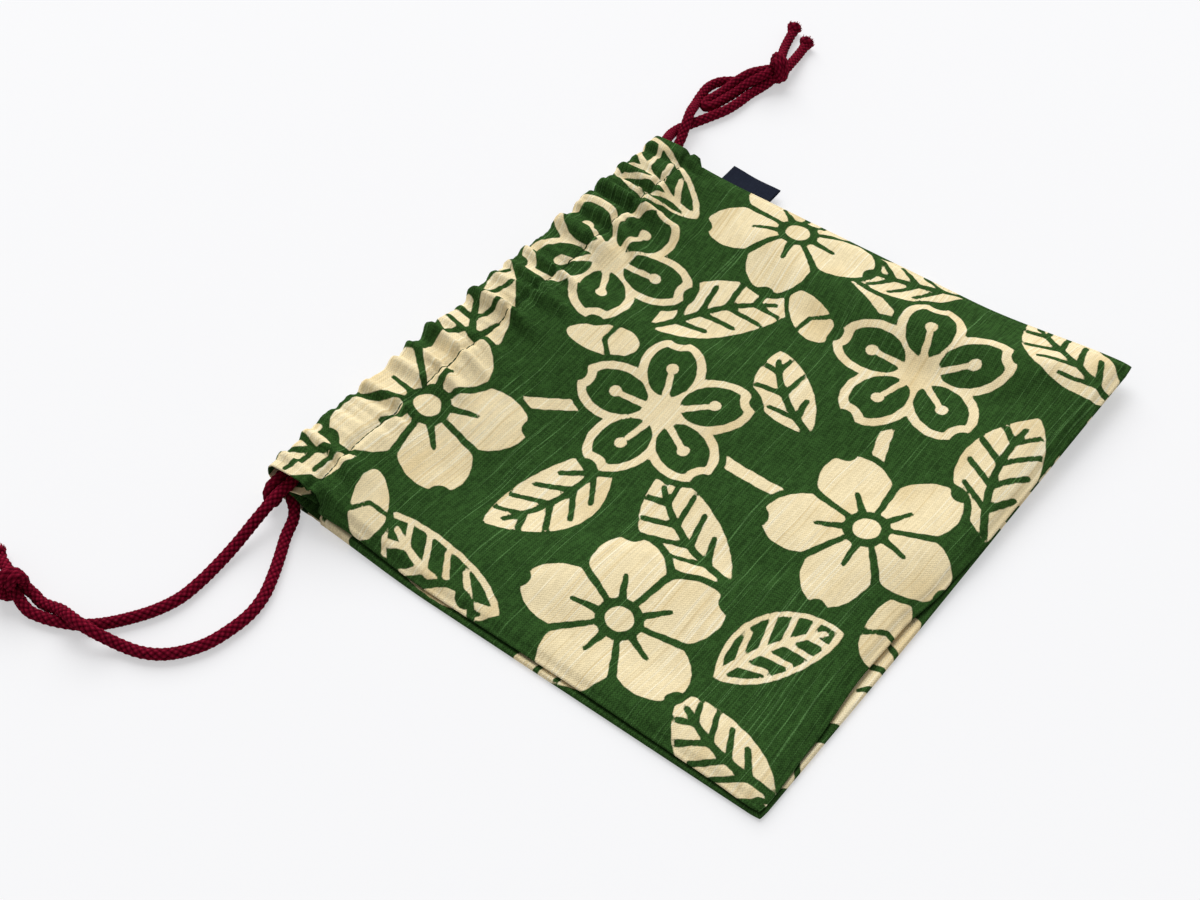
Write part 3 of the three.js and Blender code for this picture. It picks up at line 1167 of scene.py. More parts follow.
def smooth_route(places: Sequence[Place], step: float) -> Array:
    """Evenly spaced points on one smooth curve through given points.

    Args:
        places: The points that the curve passes.
        step: Distance from one new point to the next.

    Returns:
        The new points.
    """
    given = np.asarray(places, float)
    padded = np.vstack([2.0 * given[0] - given[1], given, 2.0 * given[-1] - given[-2]])
    dense = []
    share = np.linspace(0.0, 1.0, ROUTE_SAMPLES, endpoint=False)[:, None]
    for a, b, c, d in zip(padded, padded[1:], padded[2:], padded[3:]):
        spans = [max(TINY, np.linalg.norm(v - u)) ** 0.5 for u, v in ((a, b), (b, c), (c, d))]
        knots = np.cumsum([0.0, *spans])
        at = knots[1] + share * (knots[2] - knots[1])

        def between(u: Array, v: Array, i: int, j: int) -> Array:
            """Blends two lines from one of the curve's knots to another."""
            return ((knots[j] - at) * u + (at - knots[i]) * v) / (knots[j] - knots[i])

        first, second, third = between(a, b, 0, 1), between(b, c, 1, 2), between(c, d, 2, 3)
        dense.append(between(between(first, second, 0, 2), between(second, third, 1, 3), 1, 2))
    line = np.vstack([*dense, given[-1:]])
    length = np.concatenate([[0.0], np.cumsum(np.linalg.norm(np.diff(line, axis=0), axis=1))])
    even = np.linspace(0.0, length[-1], max(2, int(round(length[-1] / step)) + 1))
    return np.stack([np.interp(even, length, line[:, axis]) for axis in range(3)], axis=1)


def carried_frames(path: Array) -> tuple[Array, Array]:
    """Two directions across a path at each of its points, carried along it without twist.

    Args:
        path: Points of the path.

    Returns:
        Both directions, which are square to the path and to each other.
    """
    tangent = np.gradient(path, axis=0)
    tangent /= np.linalg.norm(tangent, axis=1, keepdims=True)
    across = np.zeros_like(path)
    start = np.array([0.0, 0.0, 1.0])
    for index, ahead in enumerate(tangent):
        start = start - ahead * (start @ ahead)
        start = start / np.linalg.norm(start)
        across[index] = start
    return across, np.cross(tangent, across)


def path_length(path: Array) -> float:
    """Length along a path."""
    return float(np.linalg.norm(np.diff(path, axis=0), axis=1).sum())


@dataclass(frozen=True)
class Braid:
    """A round braid, with one bump of yarn for each crossing, or plain thread."""

    columns: int = 6
    diamond: float = 2.8
    relief: float = 0.6
    core: float = 0.4
    plain: bool = False

    def height(self, turn: Array, along: Array) -> Array:
        """How high the yarn stands, from 0 in a groove to 1 on a crown.

        Args:
            turn: Places round the cord, from 0 to 1.
            along: Places along it.

        Returns:
            One height for each place.
        """
        if self.plain:
            return np.ones(len(turn))
        across = turn * self.columns
        ahead = along / self.diamond
        first, second = across + ahead, across - ahead
        over = (np.floor(first) + np.floor(second)) % 2.0 < 1.0
        wide = np.where(over, first, second) % 1.0
        long = np.where(over, second, first) % 1.0
        arch = np.sqrt(np.clip(1.0 - (2.0 * wide - 1.0) ** 2, 0.0, 1.0))
        return arch * (self.core + (1.0 - self.core) * np.sin(np.pi * long))


def braided_tube(
    name: str,
    path: Array,
    radius: Array,
    braid: Braid,
    sides: int,
    start: float = 0.0,
) -> Mesh:
    """Makes a closed braided tube along a path.

    Args:
        name: Name of the mesh.
        path: Middle of each ring.
        radius: Radius of each ring over the crowns of the braid.
        braid: The braid's pattern.
        sides: Points round each ring.
        start: Place along the cord of the first ring, for the braid's phase.

    Returns:
        The mesh, with its braid height and its own coordinates stored.
    """
    across, upward = carried_frames(path)
    along = start + np.concatenate([[0.0], np.cumsum(np.linalg.norm(np.diff(path, axis=0), axis=1))])
    mesh, column, row = grid_mesh(name, sides + 1, len(path))
    turn = (column % sides) / sides
    angle = 2.0 * np.pi * turn
    height = braid.height(turn, along[row])
    ring = radius[row] - braid.relief * (1.0 - height)
    cosine, sine = np.cos(angle), np.sin(angle)
    points = path[row] + ring[:, None] * (cosine[:, None] * across[row] + sine[:, None] * upward[row])
    set_points(mesh, points)
    set_value(mesh, "braid_height", height)
    set_place(mesh, "cord_place", np.stack([along[row], radius[row] * cosine, radius[row] * sine], axis=1))
    work = bmesh.new()
    work.from_mesh(mesh)
    work.verts.ensure_lookup_table()
    seam = [work.verts[index] for index in np.nonzero((column == 0) | (column == sides))[0]]
    bmesh.ops.remove_doubles(work, verts=seam, dist=SEAM_DISTANCE)
    ends = [edge for edge in work.edges if edge.is_boundary]
    bmesh.ops.holes_fill(work, edges=ends, sides=0)
    bmesh.ops.recalc_face_normals(work, faces=work.faces[:])
    work.to_mesh(mesh)
    work.free()
    return mesh


def joined(name: str, meshes: Sequence[Mesh]) -> Mesh:
    """Puts several meshes into one.

    Args:
        name: Name of the new mesh.
        meshes: The meshes, which are removed.

    Returns:
        The new mesh.
    """
    work = bmesh.new()
    for mesh in meshes:
        work.from_mesh(mesh)
    whole = bpy.data.meshes.new(name)
    work.to_mesh(whole)
    work.free()
    for mesh in meshes:
        bpy.data.meshes.remove(mesh)
    return whole


def beyond_mouth(hand: float, away: float, ahead: float, z: float | None = None) -> Place:
    """A place past the hem's end, by its distances from the mouth's corner."""
    height = SIZES.table_cord_z if z is None else z
    return (hand * (SIZES.mouth_half + away), SIZES.mouth_y + ahead, height)


@dataclass(frozen=True)
class KnotPlace:
    """Where a cord's knot lies, which way it points and where its two tails lie."""

    hand: float
    away: float
    ahead: float
    heading: float
    tails: tuple[tuple[Place, ...], ...]
    aside: float = 0.0
    slack: tuple[Place, ...] = ()

    @property
    def centre(self) -> Array:
        """Middle of the knot."""
        return np.array(beyond_mouth(self.hand, self.away, self.ahead, SIZES.knot_diameter / 2))

    @property
    def axis(self) -> Array:
        """Direction from the strands to the tails."""
        angle = math.radians(self.heading)
        return np.array([math.cos(angle), math.sin(angle), 0.0])

    @property
    def across(self) -> Array:
        """Direction across the knot, level with the table."""
        return np.array([-self.axis[1], self.axis[0], 0.0])

    def entry(self, hand: float) -> list[Place]:
        """Where one strand runs up to the knot's face.

        Args:
            hand: Which side of the knot's axis the strand is on, -1 or 1.

        Returns:
            Two places on the strand, the last one at the knot.
        """
        face = SIZES.knot_length / 2 + SIZES.knot_gap
        offset = self.centre + hand * SIZES.strand_spread * self.across
        first = offset - (face + SIZES.cord_diameter) * self.axis
        second = offset - face * self.axis
        first[2] = SIZES.cord_radius + SIZES.strand_approach * SIZES.cord_diameter
        second[2] = SIZES.cord_radius + SIZES.strand_rise * SIZES.cord_diameter
        return [tuple(first), tuple(second)]


# Places past the mouth's corner: away from it, ahead of it, and the height where it isn't the table's
LEFT_KNOT = KnotPlace(hand=-1.0, away=95.3, ahead=37.7, heading=84.0, aside=1.8, tails=(
    ((92.6, 45.2, 5.2), (90.4, 51.8, 3.5), (88.2, 58.4)),
    ((97.6, 45.6, 5.2), (98.4, 52.6, 3.2), (98.6, 59.0)),
))
RIGHT_KNOT = KnotPlace(hand=1.0, away=82.2, ahead=-9.6, heading=-20.0, tails=(
    ((91.5, -4.6, 5.2), (102.0, 0.4, 3.2), (118.5, 5.7)),
    ((92.0, -10.4, 5.2), (101.0, -8.2, 3.4), (112.6, -5.6)),
), slack=(
    (80.0, -7.0, 7.0), (76.5, -5.0, 7.4), (71.5, -1.6, 7.4), (66.0, 1.2, 5.8), (59.5, 3.4, 3.4),
    (52.5, 4.9, 2.8), (47.6, 5.9, 2.6), (44.6, 5.4, 2.5), (44.1, 3.7, 2.5), (46.4, 2.0, 2.5),
    (52.5, 0.7, 2.5), (59.5, -1.0, 3.0), (65.5, -3.2, 5.2), (71.0, -5.6, 6.6), (76.5, -7.6, 7.0),
    (80.0, -8.6, 6.6),
))

LEFT_FRONT_STRAND = (
    (3, -10.8, 10.1), (6.8, -10.6, 9.95), (10.6, -10.8, 9.8), (14.5, -11, 9), (19, -11, 7.7),
    (23.1, -11, 6.4), (32.3, -11.3, 3.9), (41.2, -11.8, 2.7), (52, -12.5), (61.6, -12.1), (70.6, -9.2),
    (78.8, -4.5), (86.2, 1.1), (91, 6.3), (93.8, 11), (96.4, 16.6), (98, 21.4),
)
LEFT_BACK_STRAND = (
    (3, -11.1, 3.6), (4.6, -12.9, 3.3), (6.4, -15.6, 2.9), (9.9, -18.6, 2.6), (17.5, -22.2), (25.6, -27.1),
    (33.8, -31.7), (42.3, -35.6), (51.1, -37.4), (60.5, -36.8), (70, -34.5), (78.1, -29.8), (83.1, -24.9),
    (86.7, -18.6), (89.1, -11.1, 2.9), (91, -5.6, 4.8), (92.8, -0.8, 7.1), (93.4, 4.3, 7.8), (93.2, 9.6, 7.2),
    (92.6, 16.2, 5),
)
RIGHT_FRONT_STRAND = (
    (3, -2.9, 10.1), (7, -1.2, 9.4), (13.5, 1.8, 6.4), (19.5, 4, 3.6), (25, 4), (35, 0), (41, -2.4),
    (47.4, -4.7), (55.4, -6.1), (63.5, -6.6),
)
RIGHT_BACK_STRAND = (
    (3, -3, 3.6), (6.5, -3.2, 3.4), (12, -3.2, 3.2), (18.5, -1.6, 4.6), (24, 0.4, 6.9), (28.6, 2.3, 7.7),
    (33, 4.2, 7.1), (38, 6.5, 4.8), (43, 8.7, 2.9), (48.4, 10.4), (56.5, 11.6), (62.6, 9.7), (66.6, 5.4),
    (70, 0.9, 2.6),
)
LEFT_TURN = (
    (3.2, -5.7, 10), (6.4, -5.2, 9.2), (8.9, -5.6, 7.4), (9.9, -6.6, 5.2), (9.4, -7.4, 3.7),
    (7.9, -7.2, 3.05), (5.8, -6.2, 3.1), (3, -5.8, 3.45),
)
RIGHT_TURN_ANGLES = (60.0, 20.0, -20.0, -60.0)


@dataclass
class DrawCord:
    """One drawstring: two free strands from its knot, and the run through both channels between them."""

    name: str
    node: str
    hand: float
    knot: KnotPlace
    channel_y: float
    front: Sequence[Place]
    back: Sequence[Place]
    turn: Sequence[Place]
    front_entry: float
    braid: Braid = Braid()
    step: float = 0.45
    sides: int = 40
    hidden_sides: int = 24
    inside: float = 6.0
    exit_search: int = 40

    def route(self) -> Array:
        """Middle of the whole cord, from its knot through both channels and back to its knot.

        Returns:
            Evenly spaced points.
        """
        strand = [beyond_mouth(self.hand, *place) for place in self.front]
        back = [beyond_mouth(self.hand, *place) for place in self.back]
        places = [
            *reversed(self.knot.entry(self.front_entry)),
            *reversed(strand),
            *self.channel(self.hand, SIZES.front_cord_z),
            *self.turn,
            *self.channel(-self.hand, SIZES.back_cord_z),
            *back,
            *self.knot.entry(-self.front_entry),
        ]
        return smooth_route(places, self.step)

    def channel(self, hand: float, z: float) -> list[Place]:
        """Straight run through a channel, from the hem's end on one side to the other.

        Args:
            hand: Side that the run starts from, -1 left or 1 right.
            z: Height of the cord's middle.

        Returns:
            Places along the run.
        """
        deep = SIZES.mouth_half - 2 * SIZES.cord_diameter
        places = []
        for stop in (SIZES.mouth_half, deep, deep / 3, -deep / 3, -deep, -SIZES.mouth_half):
            x = hand * stop
            places.append((x, self.channel_y - float(SIZES.droop(x, self.channel_y)), z))
        return places

    def build(self, material: Material, knot_piece: Piece) -> list[Piece]:
        """Makes the two free strands and the run between them.

        Args:
            material: The cord's finish.
            knot_piece: The knot that both strands run into; not used.

        Returns:
            The three pieces of the cord.
        """
        path = self.route()
        mouth = self.hand * path[:, 0] < SIZES.mouth_half - self.inside
        held = np.nonzero(mouth)[0]
        first, last = int(held[0]), int(held[-1])
        along = self.step * first
        strands = {
            f"{self.name}_front_strand": path[: first + 1][::-1],
            f"{self.name}_back_strand": path[last:],
        }
        pieces = []
        for name, line in strands.items():
            radius = np.full(len(line), SIZES.cord_radius)
            mesh = braided_tube(name, line, radius, self.braid, self.sides)
            piece = new_piece(mesh, material)
            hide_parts(self.node)
            pieces.append(piece)
        run = path[first : last + 1]
        radius = np.full(len(run), SIZES.cord_radius)
        name = f"{self.name}_channel_run"
        mesh = braided_tube(name, run, radius, self.braid, self.hidden_sides, along)
        piece = new_piece(mesh, material)
        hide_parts(self.node)
        return [*pieces, piece]


@dataclass
class CordKnot:
    """A knot of two strands tied together, with its two cut tails."""

    name: str
    node: str
    place: KnotPlace
    seed: int
    braid: Braid = Braid()
    wrap_radius: float = 3.9
    wrap_cord: float = 4.7
    wrap_points: int = 60
    wrap_phase: float = 0.7
    tuck_share: float = 0.12
    tuck_radius: float = 0.9
    core: tuple[Place, ...] = ((-6.6, 2.5, -1.7), (-3.0, 2.1, -0.4), (1.5, 1.9, 0.4))
    turns: float = 2.1
    pitch: float = 2.3
    slant: float = 1.0
    spread: float = 1.08
    standing: float = 1.36
    lift: float = 2.0
    step: float = 0.45
    sides: int = 32
    fray_length: float = 4.5
    fray_flare: float = 1.1
    fibres: int = 150
    fibre_radius: float = 0.2
    fibre_taper: tuple[float, ...] = (1.0, 0.9, 0.35)
    fibre_reach: Pair = (0.8, 1.8)
    fibre_sunk: float = 0.6
    fibre_splay: Pair = (-0.05, 0.3)
    fibre_stray: float = 0.1
    fibre_bend: float = 0.6
    fibre_sides: int = 5
    trim: float = 1.8

    def to_frame(self, local: Array) -> Array:
        """Turns points along, across and above the knot's middle into the frame's points."""
        up = np.array([0.0, 0.0, 1.0])
        return self.place.centre + local @ np.stack([self.place.axis, self.place.across, up])

    def wraps(self) -> Array:
        """Middle of the cord that winds round the knot.

        Returns:
            Evenly spaced points.
        """
        share = np.linspace(0.0, 1.0, self.wrap_points)
        angle = 2.0 * np.pi * self.turns * share + self.wrap_phase
        tuck = np.minimum(ease(share, 0.0, self.tuck_share), ease(1.0 - share, 0.0, self.tuck_share))
        radius = lerp(self.tuck_radius, self.wrap_radius, tuck)
        forward = self.pitch * (share - 0.5) * self.turns + self.slant * np.cos(angle)
        height = self.lift + self.standing * radius * np.sin(angle)
        local = np.stack([forward, self.place.aside + self.spread * radius * np.cos(angle), height], axis=1)
        places = self.to_frame(local)
        places[:, 2] = np.maximum(places[:, 2], self.wrap_cord / 2 + SIZES.cord_float)
        return smooth_route(places, self.step)

    def tail(self, index: int) -> Array:
        """Middle of one strand through the knot and along its tail.

        Args:
            index: Which of the two tails.

        Returns:
            Evenly spaced points, the last one at the cut end.
        """
        hand = 1.0 if index == 0 else -1.0
        inside = np.array(self.core) * np.array([1.0, hand, 1.0])
        outside = [beyond_mouth(self.place.hand, *point) for point in self.place.tails[index]]
        path = smooth_route([*self.to_frame(inside), *outside], self.step)
        return path[: len(path) - int(self.trim / self.step)]

    def frayed_end(self, path: Array, draw: np.random.Generator) -> list[Mesh]:
        """Loose fibres that stand out of a cut end.

        Args:
            path: Middle of the tail.
            draw: Source of the fibres' random places.

        Returns:
            One mesh for each fibre.
        """
        ahead = path[-1] - path[-4]
        ahead /= np.linalg.norm(ahead)
        across, upward = carried_frames(path)
        fibres = []
        for index in range(self.fibres):
            angle = draw.uniform(0.0, 2.0 * np.pi)
            out = (SIZES.cord_radius + self.fray_flare) * math.sqrt(draw.uniform(0.0, 1.0))
            side = math.cos(angle) * across[-1] + math.sin(angle) * upward[-1]
            reach = draw.uniform(*self.fibre_reach)
            start = path[-1] + out * side - self.fibre_sunk * ahead
            splay = draw.uniform(*self.fibre_splay) * side + draw.normal(0.0, self.fibre_stray, 3)
            middle = start + 0.5 * reach * (ahead + self.fibre_bend * splay)
            line = np.stack([start, middle, start + reach * (ahead + splay)])
            line[:, 2] = np.maximum(line[:, 2], 2.0 * self.fibre_radius)
            radius = self.fibre_radius * np.array(self.fibre_taper)
            fibres.append(braided_tube(f"fibre_{index}", line, radius, Braid(plain=True), self.fibre_sides))
        return fibres

    def build(self, material: Material) -> Piece:
        """Makes the knot with its tails.

        Args:
            material: The cord's finish.

        Returns:
            The knot as one piece.
        """
        draw = np.random.default_rng(self.seed)
        meshes = []
        line = self.wraps()
        radius = np.full(len(line), self.wrap_cord / 2)
        meshes.append(braided_tube("wrap", line, radius, self.braid, self.sides))
        if self.place.slack:
            places = [beyond_mouth(self.place.hand, *point) for point in self.place.slack]
            loop = smooth_route(places, self.step)
            radius = np.full(len(loop), SIZES.cord_radius)
            meshes.append(braided_tube("slack", loop, radius, self.braid, self.sides))
        for index in range(len(self.place.tails)):
            path = self.tail(index)
            left = np.linspace(path_length(path), 0.0, len(path))
            radius = SIZES.cord_radius + self.fray_flare * ease(-left, -self.fray_length, 0.0)
            path[:, 2] = np.maximum(path[:, 2], radius + SIZES.cord_float)
            meshes.append(braided_tube(f"tail_{index}", path, radius, self.braid, self.sides))
            meshes.extend(self.frayed_end(path, draw))
        piece = new_piece(joined(self.name, meshes), material)
        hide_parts(self.node)
        return piece


# Stitches and label


@dataclass
class HemStitches:
    """The row of stitches that holds a channel's hem."""

    name: str
    panel: ClothPanel
    pitch: float = 2.7
    length: float = 2.95
    radius: float = 0.31
    wander: float = 0.35
    wander_lengths: Pair = (9.0, 23.0)
    end_gap: float = 3.0
    stand: float = 0.1
    dip: float = 0.13
    taper: tuple[float, ...] = (0.6, 0.95, 1.0, 0.95, 0.6)
    sides: int = 6

    def build(self, material: Material) -> Piece:
        """Makes the row of stitches.

        Args:
            material: The thread's finish.

        Returns:
            All the stitches as one piece.
        """
        reach = SIZES.body_half - self.end_gap
        count = int(2.0 * reach / self.pitch)
        share = np.linspace(-0.5, 0.5, len(self.taper))
        sink = self.stand - self.dip * (2.0 * np.abs(share)) ** 4
        short, long = self.wander_lengths
        meshes = []
        for index in range(count):
            middle = -reach + (index + 0.5) * self.pitch
            across = middle + self.length * share
            drift = self.wander * np.sin(across / short) * np.sin(across / long)
            along = np.full(len(share), self.panel.cloth_at(SIZES.stitch_y)) + drift
            points, _, normal = self.panel.frame_at(across, along)
            path = points + normal * (SIZES.cloth / 2 + sink)[:, None]
            path[:, 2] = np.maximum(path[:, 2], self.radius)
            radius = self.radius * np.array(self.taper)
            meshes.append(braided_tube(f"stitch_{index}", path, radius, Braid(plain=True), self.sides))
        return new_piece(joined(self.name, meshes), material)


@dataclass
class FoldedLabel:
    """A blank woven label, folded over and caught in the side seam."""

    length: float = 24.0
    reach: float = 9.0
    depth: float = 33.5
    cloth: float = 0.35
    fold: float = 0.3
    sunk: float = 0.3
    curl: float = 0.7
    curl_even: float = 0.6
    columns: int = 49
    rows: int = 41

    def build(self, material: Material) -> Piece:
        """Makes the label.

        Args:
            material: The label's finish.

        Returns:
            The label as a thick sheet.
        """
        mesh, column, row = grid_mesh("woven_label", self.columns, self.rows)
        side = self.reach + self.sunk - self.fold
        girth = 2.0 * side + math.pi * self.fold
        run = column / (self.columns - 1) * girth
        down = self.length * (1.0 - row / (self.rows - 1))
        turn = np.clip((run - side) / self.fold, 0.0, math.pi)
        back = np.maximum(0.0, run - side - math.pi * self.fold)
        out = np.minimum(run, side) + self.fold * np.sin(turn) - back
        y = SIZES.mouth_y - self.depth - down
        draw = SIZES.body_half - SIZES.panel_half(y)
        edge = SIZES.bag_width / 2 - draw
        share = out / side
        wave = np.cos(2.0 * np.pi * down / self.length)
        lift = self.curl * share**2 * lerp(wave, 1.0, self.curl_even)
        pull = SIZES.narrowing(np.full(len(y), SIZES.body_half), y)
        x = edge - self.sunk + out - pull * (1.0 - share)
        z = SIZES.seam_z(np.full(len(y), SIZES.bag_width / 2), y) + self.fold * np.cos(turn) + lift
        set_points(mesh, np.stack([x, y, z], axis=1))
        set_place(mesh, "cloth_place", np.stack([run, down, np.zeros(len(run))], axis=1))
        piece = new_piece(mesh, material)
        thicken(piece, self.cloth)
        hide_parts("side_label")
        return piece


# Finishes


@dataclass
class NodeSheet:
    """Short ways to add and join the nodes of a material or a node group."""

    tree: Group

    def add(self, kind: str, **values: object) -> bpy.types.Node:
        """Adds a node and sets its properties.

        Args:
            kind: The node's type.
            values: Values by property.

        Returns:
            The node.
        """
        node = self.tree.nodes.new(kind)
        for name, value in values.items():
            setattr(node, name, value)
        return node

    def join(self, source: object, target: object) -> None:
        """Joins an output to an input, or sets the input to a plain value.

        Args:
            source: An output or a value.
            target: The input.
        """
        if isinstance(source, Socket):
            self.tree.links.new(source, target)
        else:
            target.default_value = source

    def math(self, operation: str, first: object, second: object = 0.0, third: object = 0.0) -> Socket:
        """Adds a math node.

        Args:
            operation: What it does.
            first: Its first input or value.
            second: Its second one.
            third: Its third one.

        Returns:
            Its output.
        """
        node = self.add("ShaderNodeMath", operation=operation)
        for index, value in enumerate((first, second, third)):
            self.join(value, node.inputs[index])
        return node.outputs[0]

    def vector(self, operation: str, first: object, second: object) -> Socket:
        """Adds a vector math node.

        Args:
            operation: What it does.
            first: Its first input or value.
            second: Its second one.

        Returns:
            Its output.
        """
        node = self.add("ShaderNodeVectorMath", operation=operation)
        self.join(first, node.inputs[0])
        self.join(second, node.inputs[1])
        return node.outputs[0]

    def scaled(self, value: object, low: float, high: float, start: float = 0.0, end: float = 1.0) -> Socket:
        """Maps a range of values smoothly to another.

        Args:
            value: The value to map.
            low: Where its range starts.
            high: Where its range ends.
            start: What that start becomes.
            end: What that end becomes.

        Returns:
            The mapped value.
        """
        node = self.add("ShaderNodeMapRange", interpolation_type="SMOOTHSTEP")
        for index, item in enumerate((value, low, high, start, end)):
            self.join(item, node.inputs[index])
        return node.outputs[0]

    def noise(self, place: object, scale: float, detail: float = 2.0) -> Socket:
        """Adds a noise texture.

        Args:
            place: The coordinates that it reads.
            scale: Its scale.
            detail: Its detail.

        Returns:
            Its value.
        """
        node = self.add("ShaderNodeTexNoise")
        self.join(place, node.inputs["Vector"])
        node.inputs["Scale"].default_value = scale
        node.inputs["Detail"].default_value = detail
        return node.outputs[0]

    def mix(self, share: object, first: object, second: object, blend: str = "MIX") -> Socket:
        """Mixes two colours.

        Args:
            share: Share of the second colour.
            first: The first colour.
            second: The second colour.
            blend: How the second colour goes on the first.

        Returns:
            The mixed colour.
        """
        node = self.add("ShaderNodeMix", data_type="RGBA", blend_type=blend)
        self.join(share, node.inputs["Factor"])
        self.join(first, node.inputs["A"])
        self.join(second, node.inputs["B"])
        return node.outputs["Result"]

    def attribute(self, name: str, output: str) -> Socket:
        """Reads a stored attribute."""
        return self.add("ShaderNodeAttribute", attribute_name=name).outputs[output]

    def bump(self, height: Socket, strength: float, distance: float) -> Socket:
        """Turns a height into a normal.

        Args:
            height: The height.
            strength: How strongly it shows.
            distance: How high it stands, in millimetres.

        Returns:
            The normal.
        """
        node = self.add("ShaderNodeBump")
        node.inputs["Strength"].default_value = strength
        node.inputs["Distance"].default_value = distance * MM
        self.join(height, node.inputs["Height"])
        return node.outputs[0]

    def use(self, group: Group, **values: object) -> bpy.types.Node:
        """Places a node group and sets its inputs.

        Args:
            group: The group.
            values: Sockets or values by input.

        Returns:
            The group's node.
        """
        node = self.add("ShaderNodeGroup", node_tree=group)
        for name, value in values.items():
            self.join(value, node.inputs[name])
        return node


def new_group(name: str, inputs: dict[str, str], outputs: dict[str, str]) -> tuple[Group, NodeSheet]:
    """Starts a shader node group with named sockets.

    Args:
        name: Name of the group.
        inputs: Socket types by input name.
        outputs: Socket types by output name.

    Returns:
        The group and a sheet to add its nodes to.
    """
    tree = bpy.data.node_groups.new(name, "ShaderNodeTree")
    for direction, sockets in (("INPUT", inputs), ("OUTPUT", outputs)):
        for socket, kind in sockets.items():
            tree.interface.new_socket(socket, in_out=direction, socket_type=kind)
    return tree, NodeSheet(tree)


def plain_weave_group() -> Group:
    """Builds the plain weave: a height and an uneven tone for threads of a given width.

    Returns:
        The group.
    """
    waver_height = 1.1
    weft_stretch, weft_share = (0.12, 1.7, 1.0), 0.58
    warp_stretch, warp_share = (1.7, 0.3, 1.0), 0.42
    tree, sheet = new_group(
        "plain weave",
        {"Place": "NodeSocketVector", "Thread": "NodeSocketFloat"},
        {"Height": "NodeSocketFloat", "Tone": "NodeSocketFloat"},
    )
    ends = sheet.add("NodeGroupInput")
    place, thread = ends.outputs["Place"], ends.outputs["Thread"]
    parts = sheet.add("ShaderNodeSeparateXYZ")
    sheet.join(place, parts.inputs[0])
    waver = sheet.math("MULTIPLY", sheet.noise(place, 0.35, 3.0), waver_height)
    turns = []
    for axis in (0, 1):
        moved = sheet.math("ADD", parts.outputs[axis], waver)
        turns.append(sheet.math("MULTIPLY", sheet.math("DIVIDE", moved, thread), math.pi))
    crossing = sheet.math("MULTIPLY", sheet.math("SINE", turns[0]), sheet.math("SINE", turns[1]))
    height = sheet.math("MULTIPLY_ADD", crossing, 0.5, 0.5)
    weft = sheet.noise(sheet.vector("MULTIPLY", place, weft_stretch), 1.0)
    warp = sheet.noise(sheet.vector("MULTIPLY", place, warp_stretch), 1.0)
    tone = sheet.math("MULTIPLY_ADD", warp, warp_share, sheet.math("MULTIPLY", weft, weft_share))
    out = sheet.add("NodeGroupOutput")
    sheet.join(height, out.inputs["Height"])
    sheet.join(tone, out.inputs["Tone"])
    return tree


def fibre_group() -> Group:
    """Builds fine fibres that run along a yarn: a height and an uneven tone.

    Returns:
        The group.
    """
    fibre_stretch = (0.35, 1.0, 1.0)
    tree, sheet = new_group(
        "yarn fibres",
        {"Place": "NodeSocketVector", "Fineness": "NodeSocketFloat"},
        {"Height": "NodeSocketFloat", "Tone": "NodeSocketFloat"},
    )
    ends = sheet.add("NodeGroupInput")
    place = sheet.add("ShaderNodeVectorMath", operation="SCALE")
    sheet.join(ends.outputs["Place"], place.inputs[0])
    sheet.join(ends.outputs["Fineness"], place.inputs["Scale"])
    fine = sheet.noise(sheet.vector("MULTIPLY", place.outputs[0], fibre_stretch), 1.0, 3.0)
    broad = sheet.noise(place.outputs[0], 0.12)
    tone = sheet.math("MULTIPLY_ADD", broad, 0.5, sheet.math("MULTIPLY", fine, 0.5))
    out = sheet.add("NodeGroupOutput")
    sheet.join(fine, out.inputs["Height"])
    sheet.join(tone, out.inputs["Tone"])
    return tree


def new_material(
    name: str,
    roughness: float,
    specular: float = 0.02,
) -> tuple[Material, NodeSheet, bpy.types.Node]:
    """Starts a material with its plain values on the shader.

    Args:
        name: Name of the material.
        roughness: Roughness all over.
        specular: Specular level all over.

    Returns:
        The material, a sheet to add its nodes to and its shader.
    """
    material = bpy.data.materials.new(name)
    material.use_nodes = True
    shader = material.node_tree.nodes["Principled BSDF"]
    shader.inputs["Roughness"].default_value = roughness
    shader.inputs["Specular IOR Level"].default_value = specular
    return material, NodeSheet(material.node_tree), shader


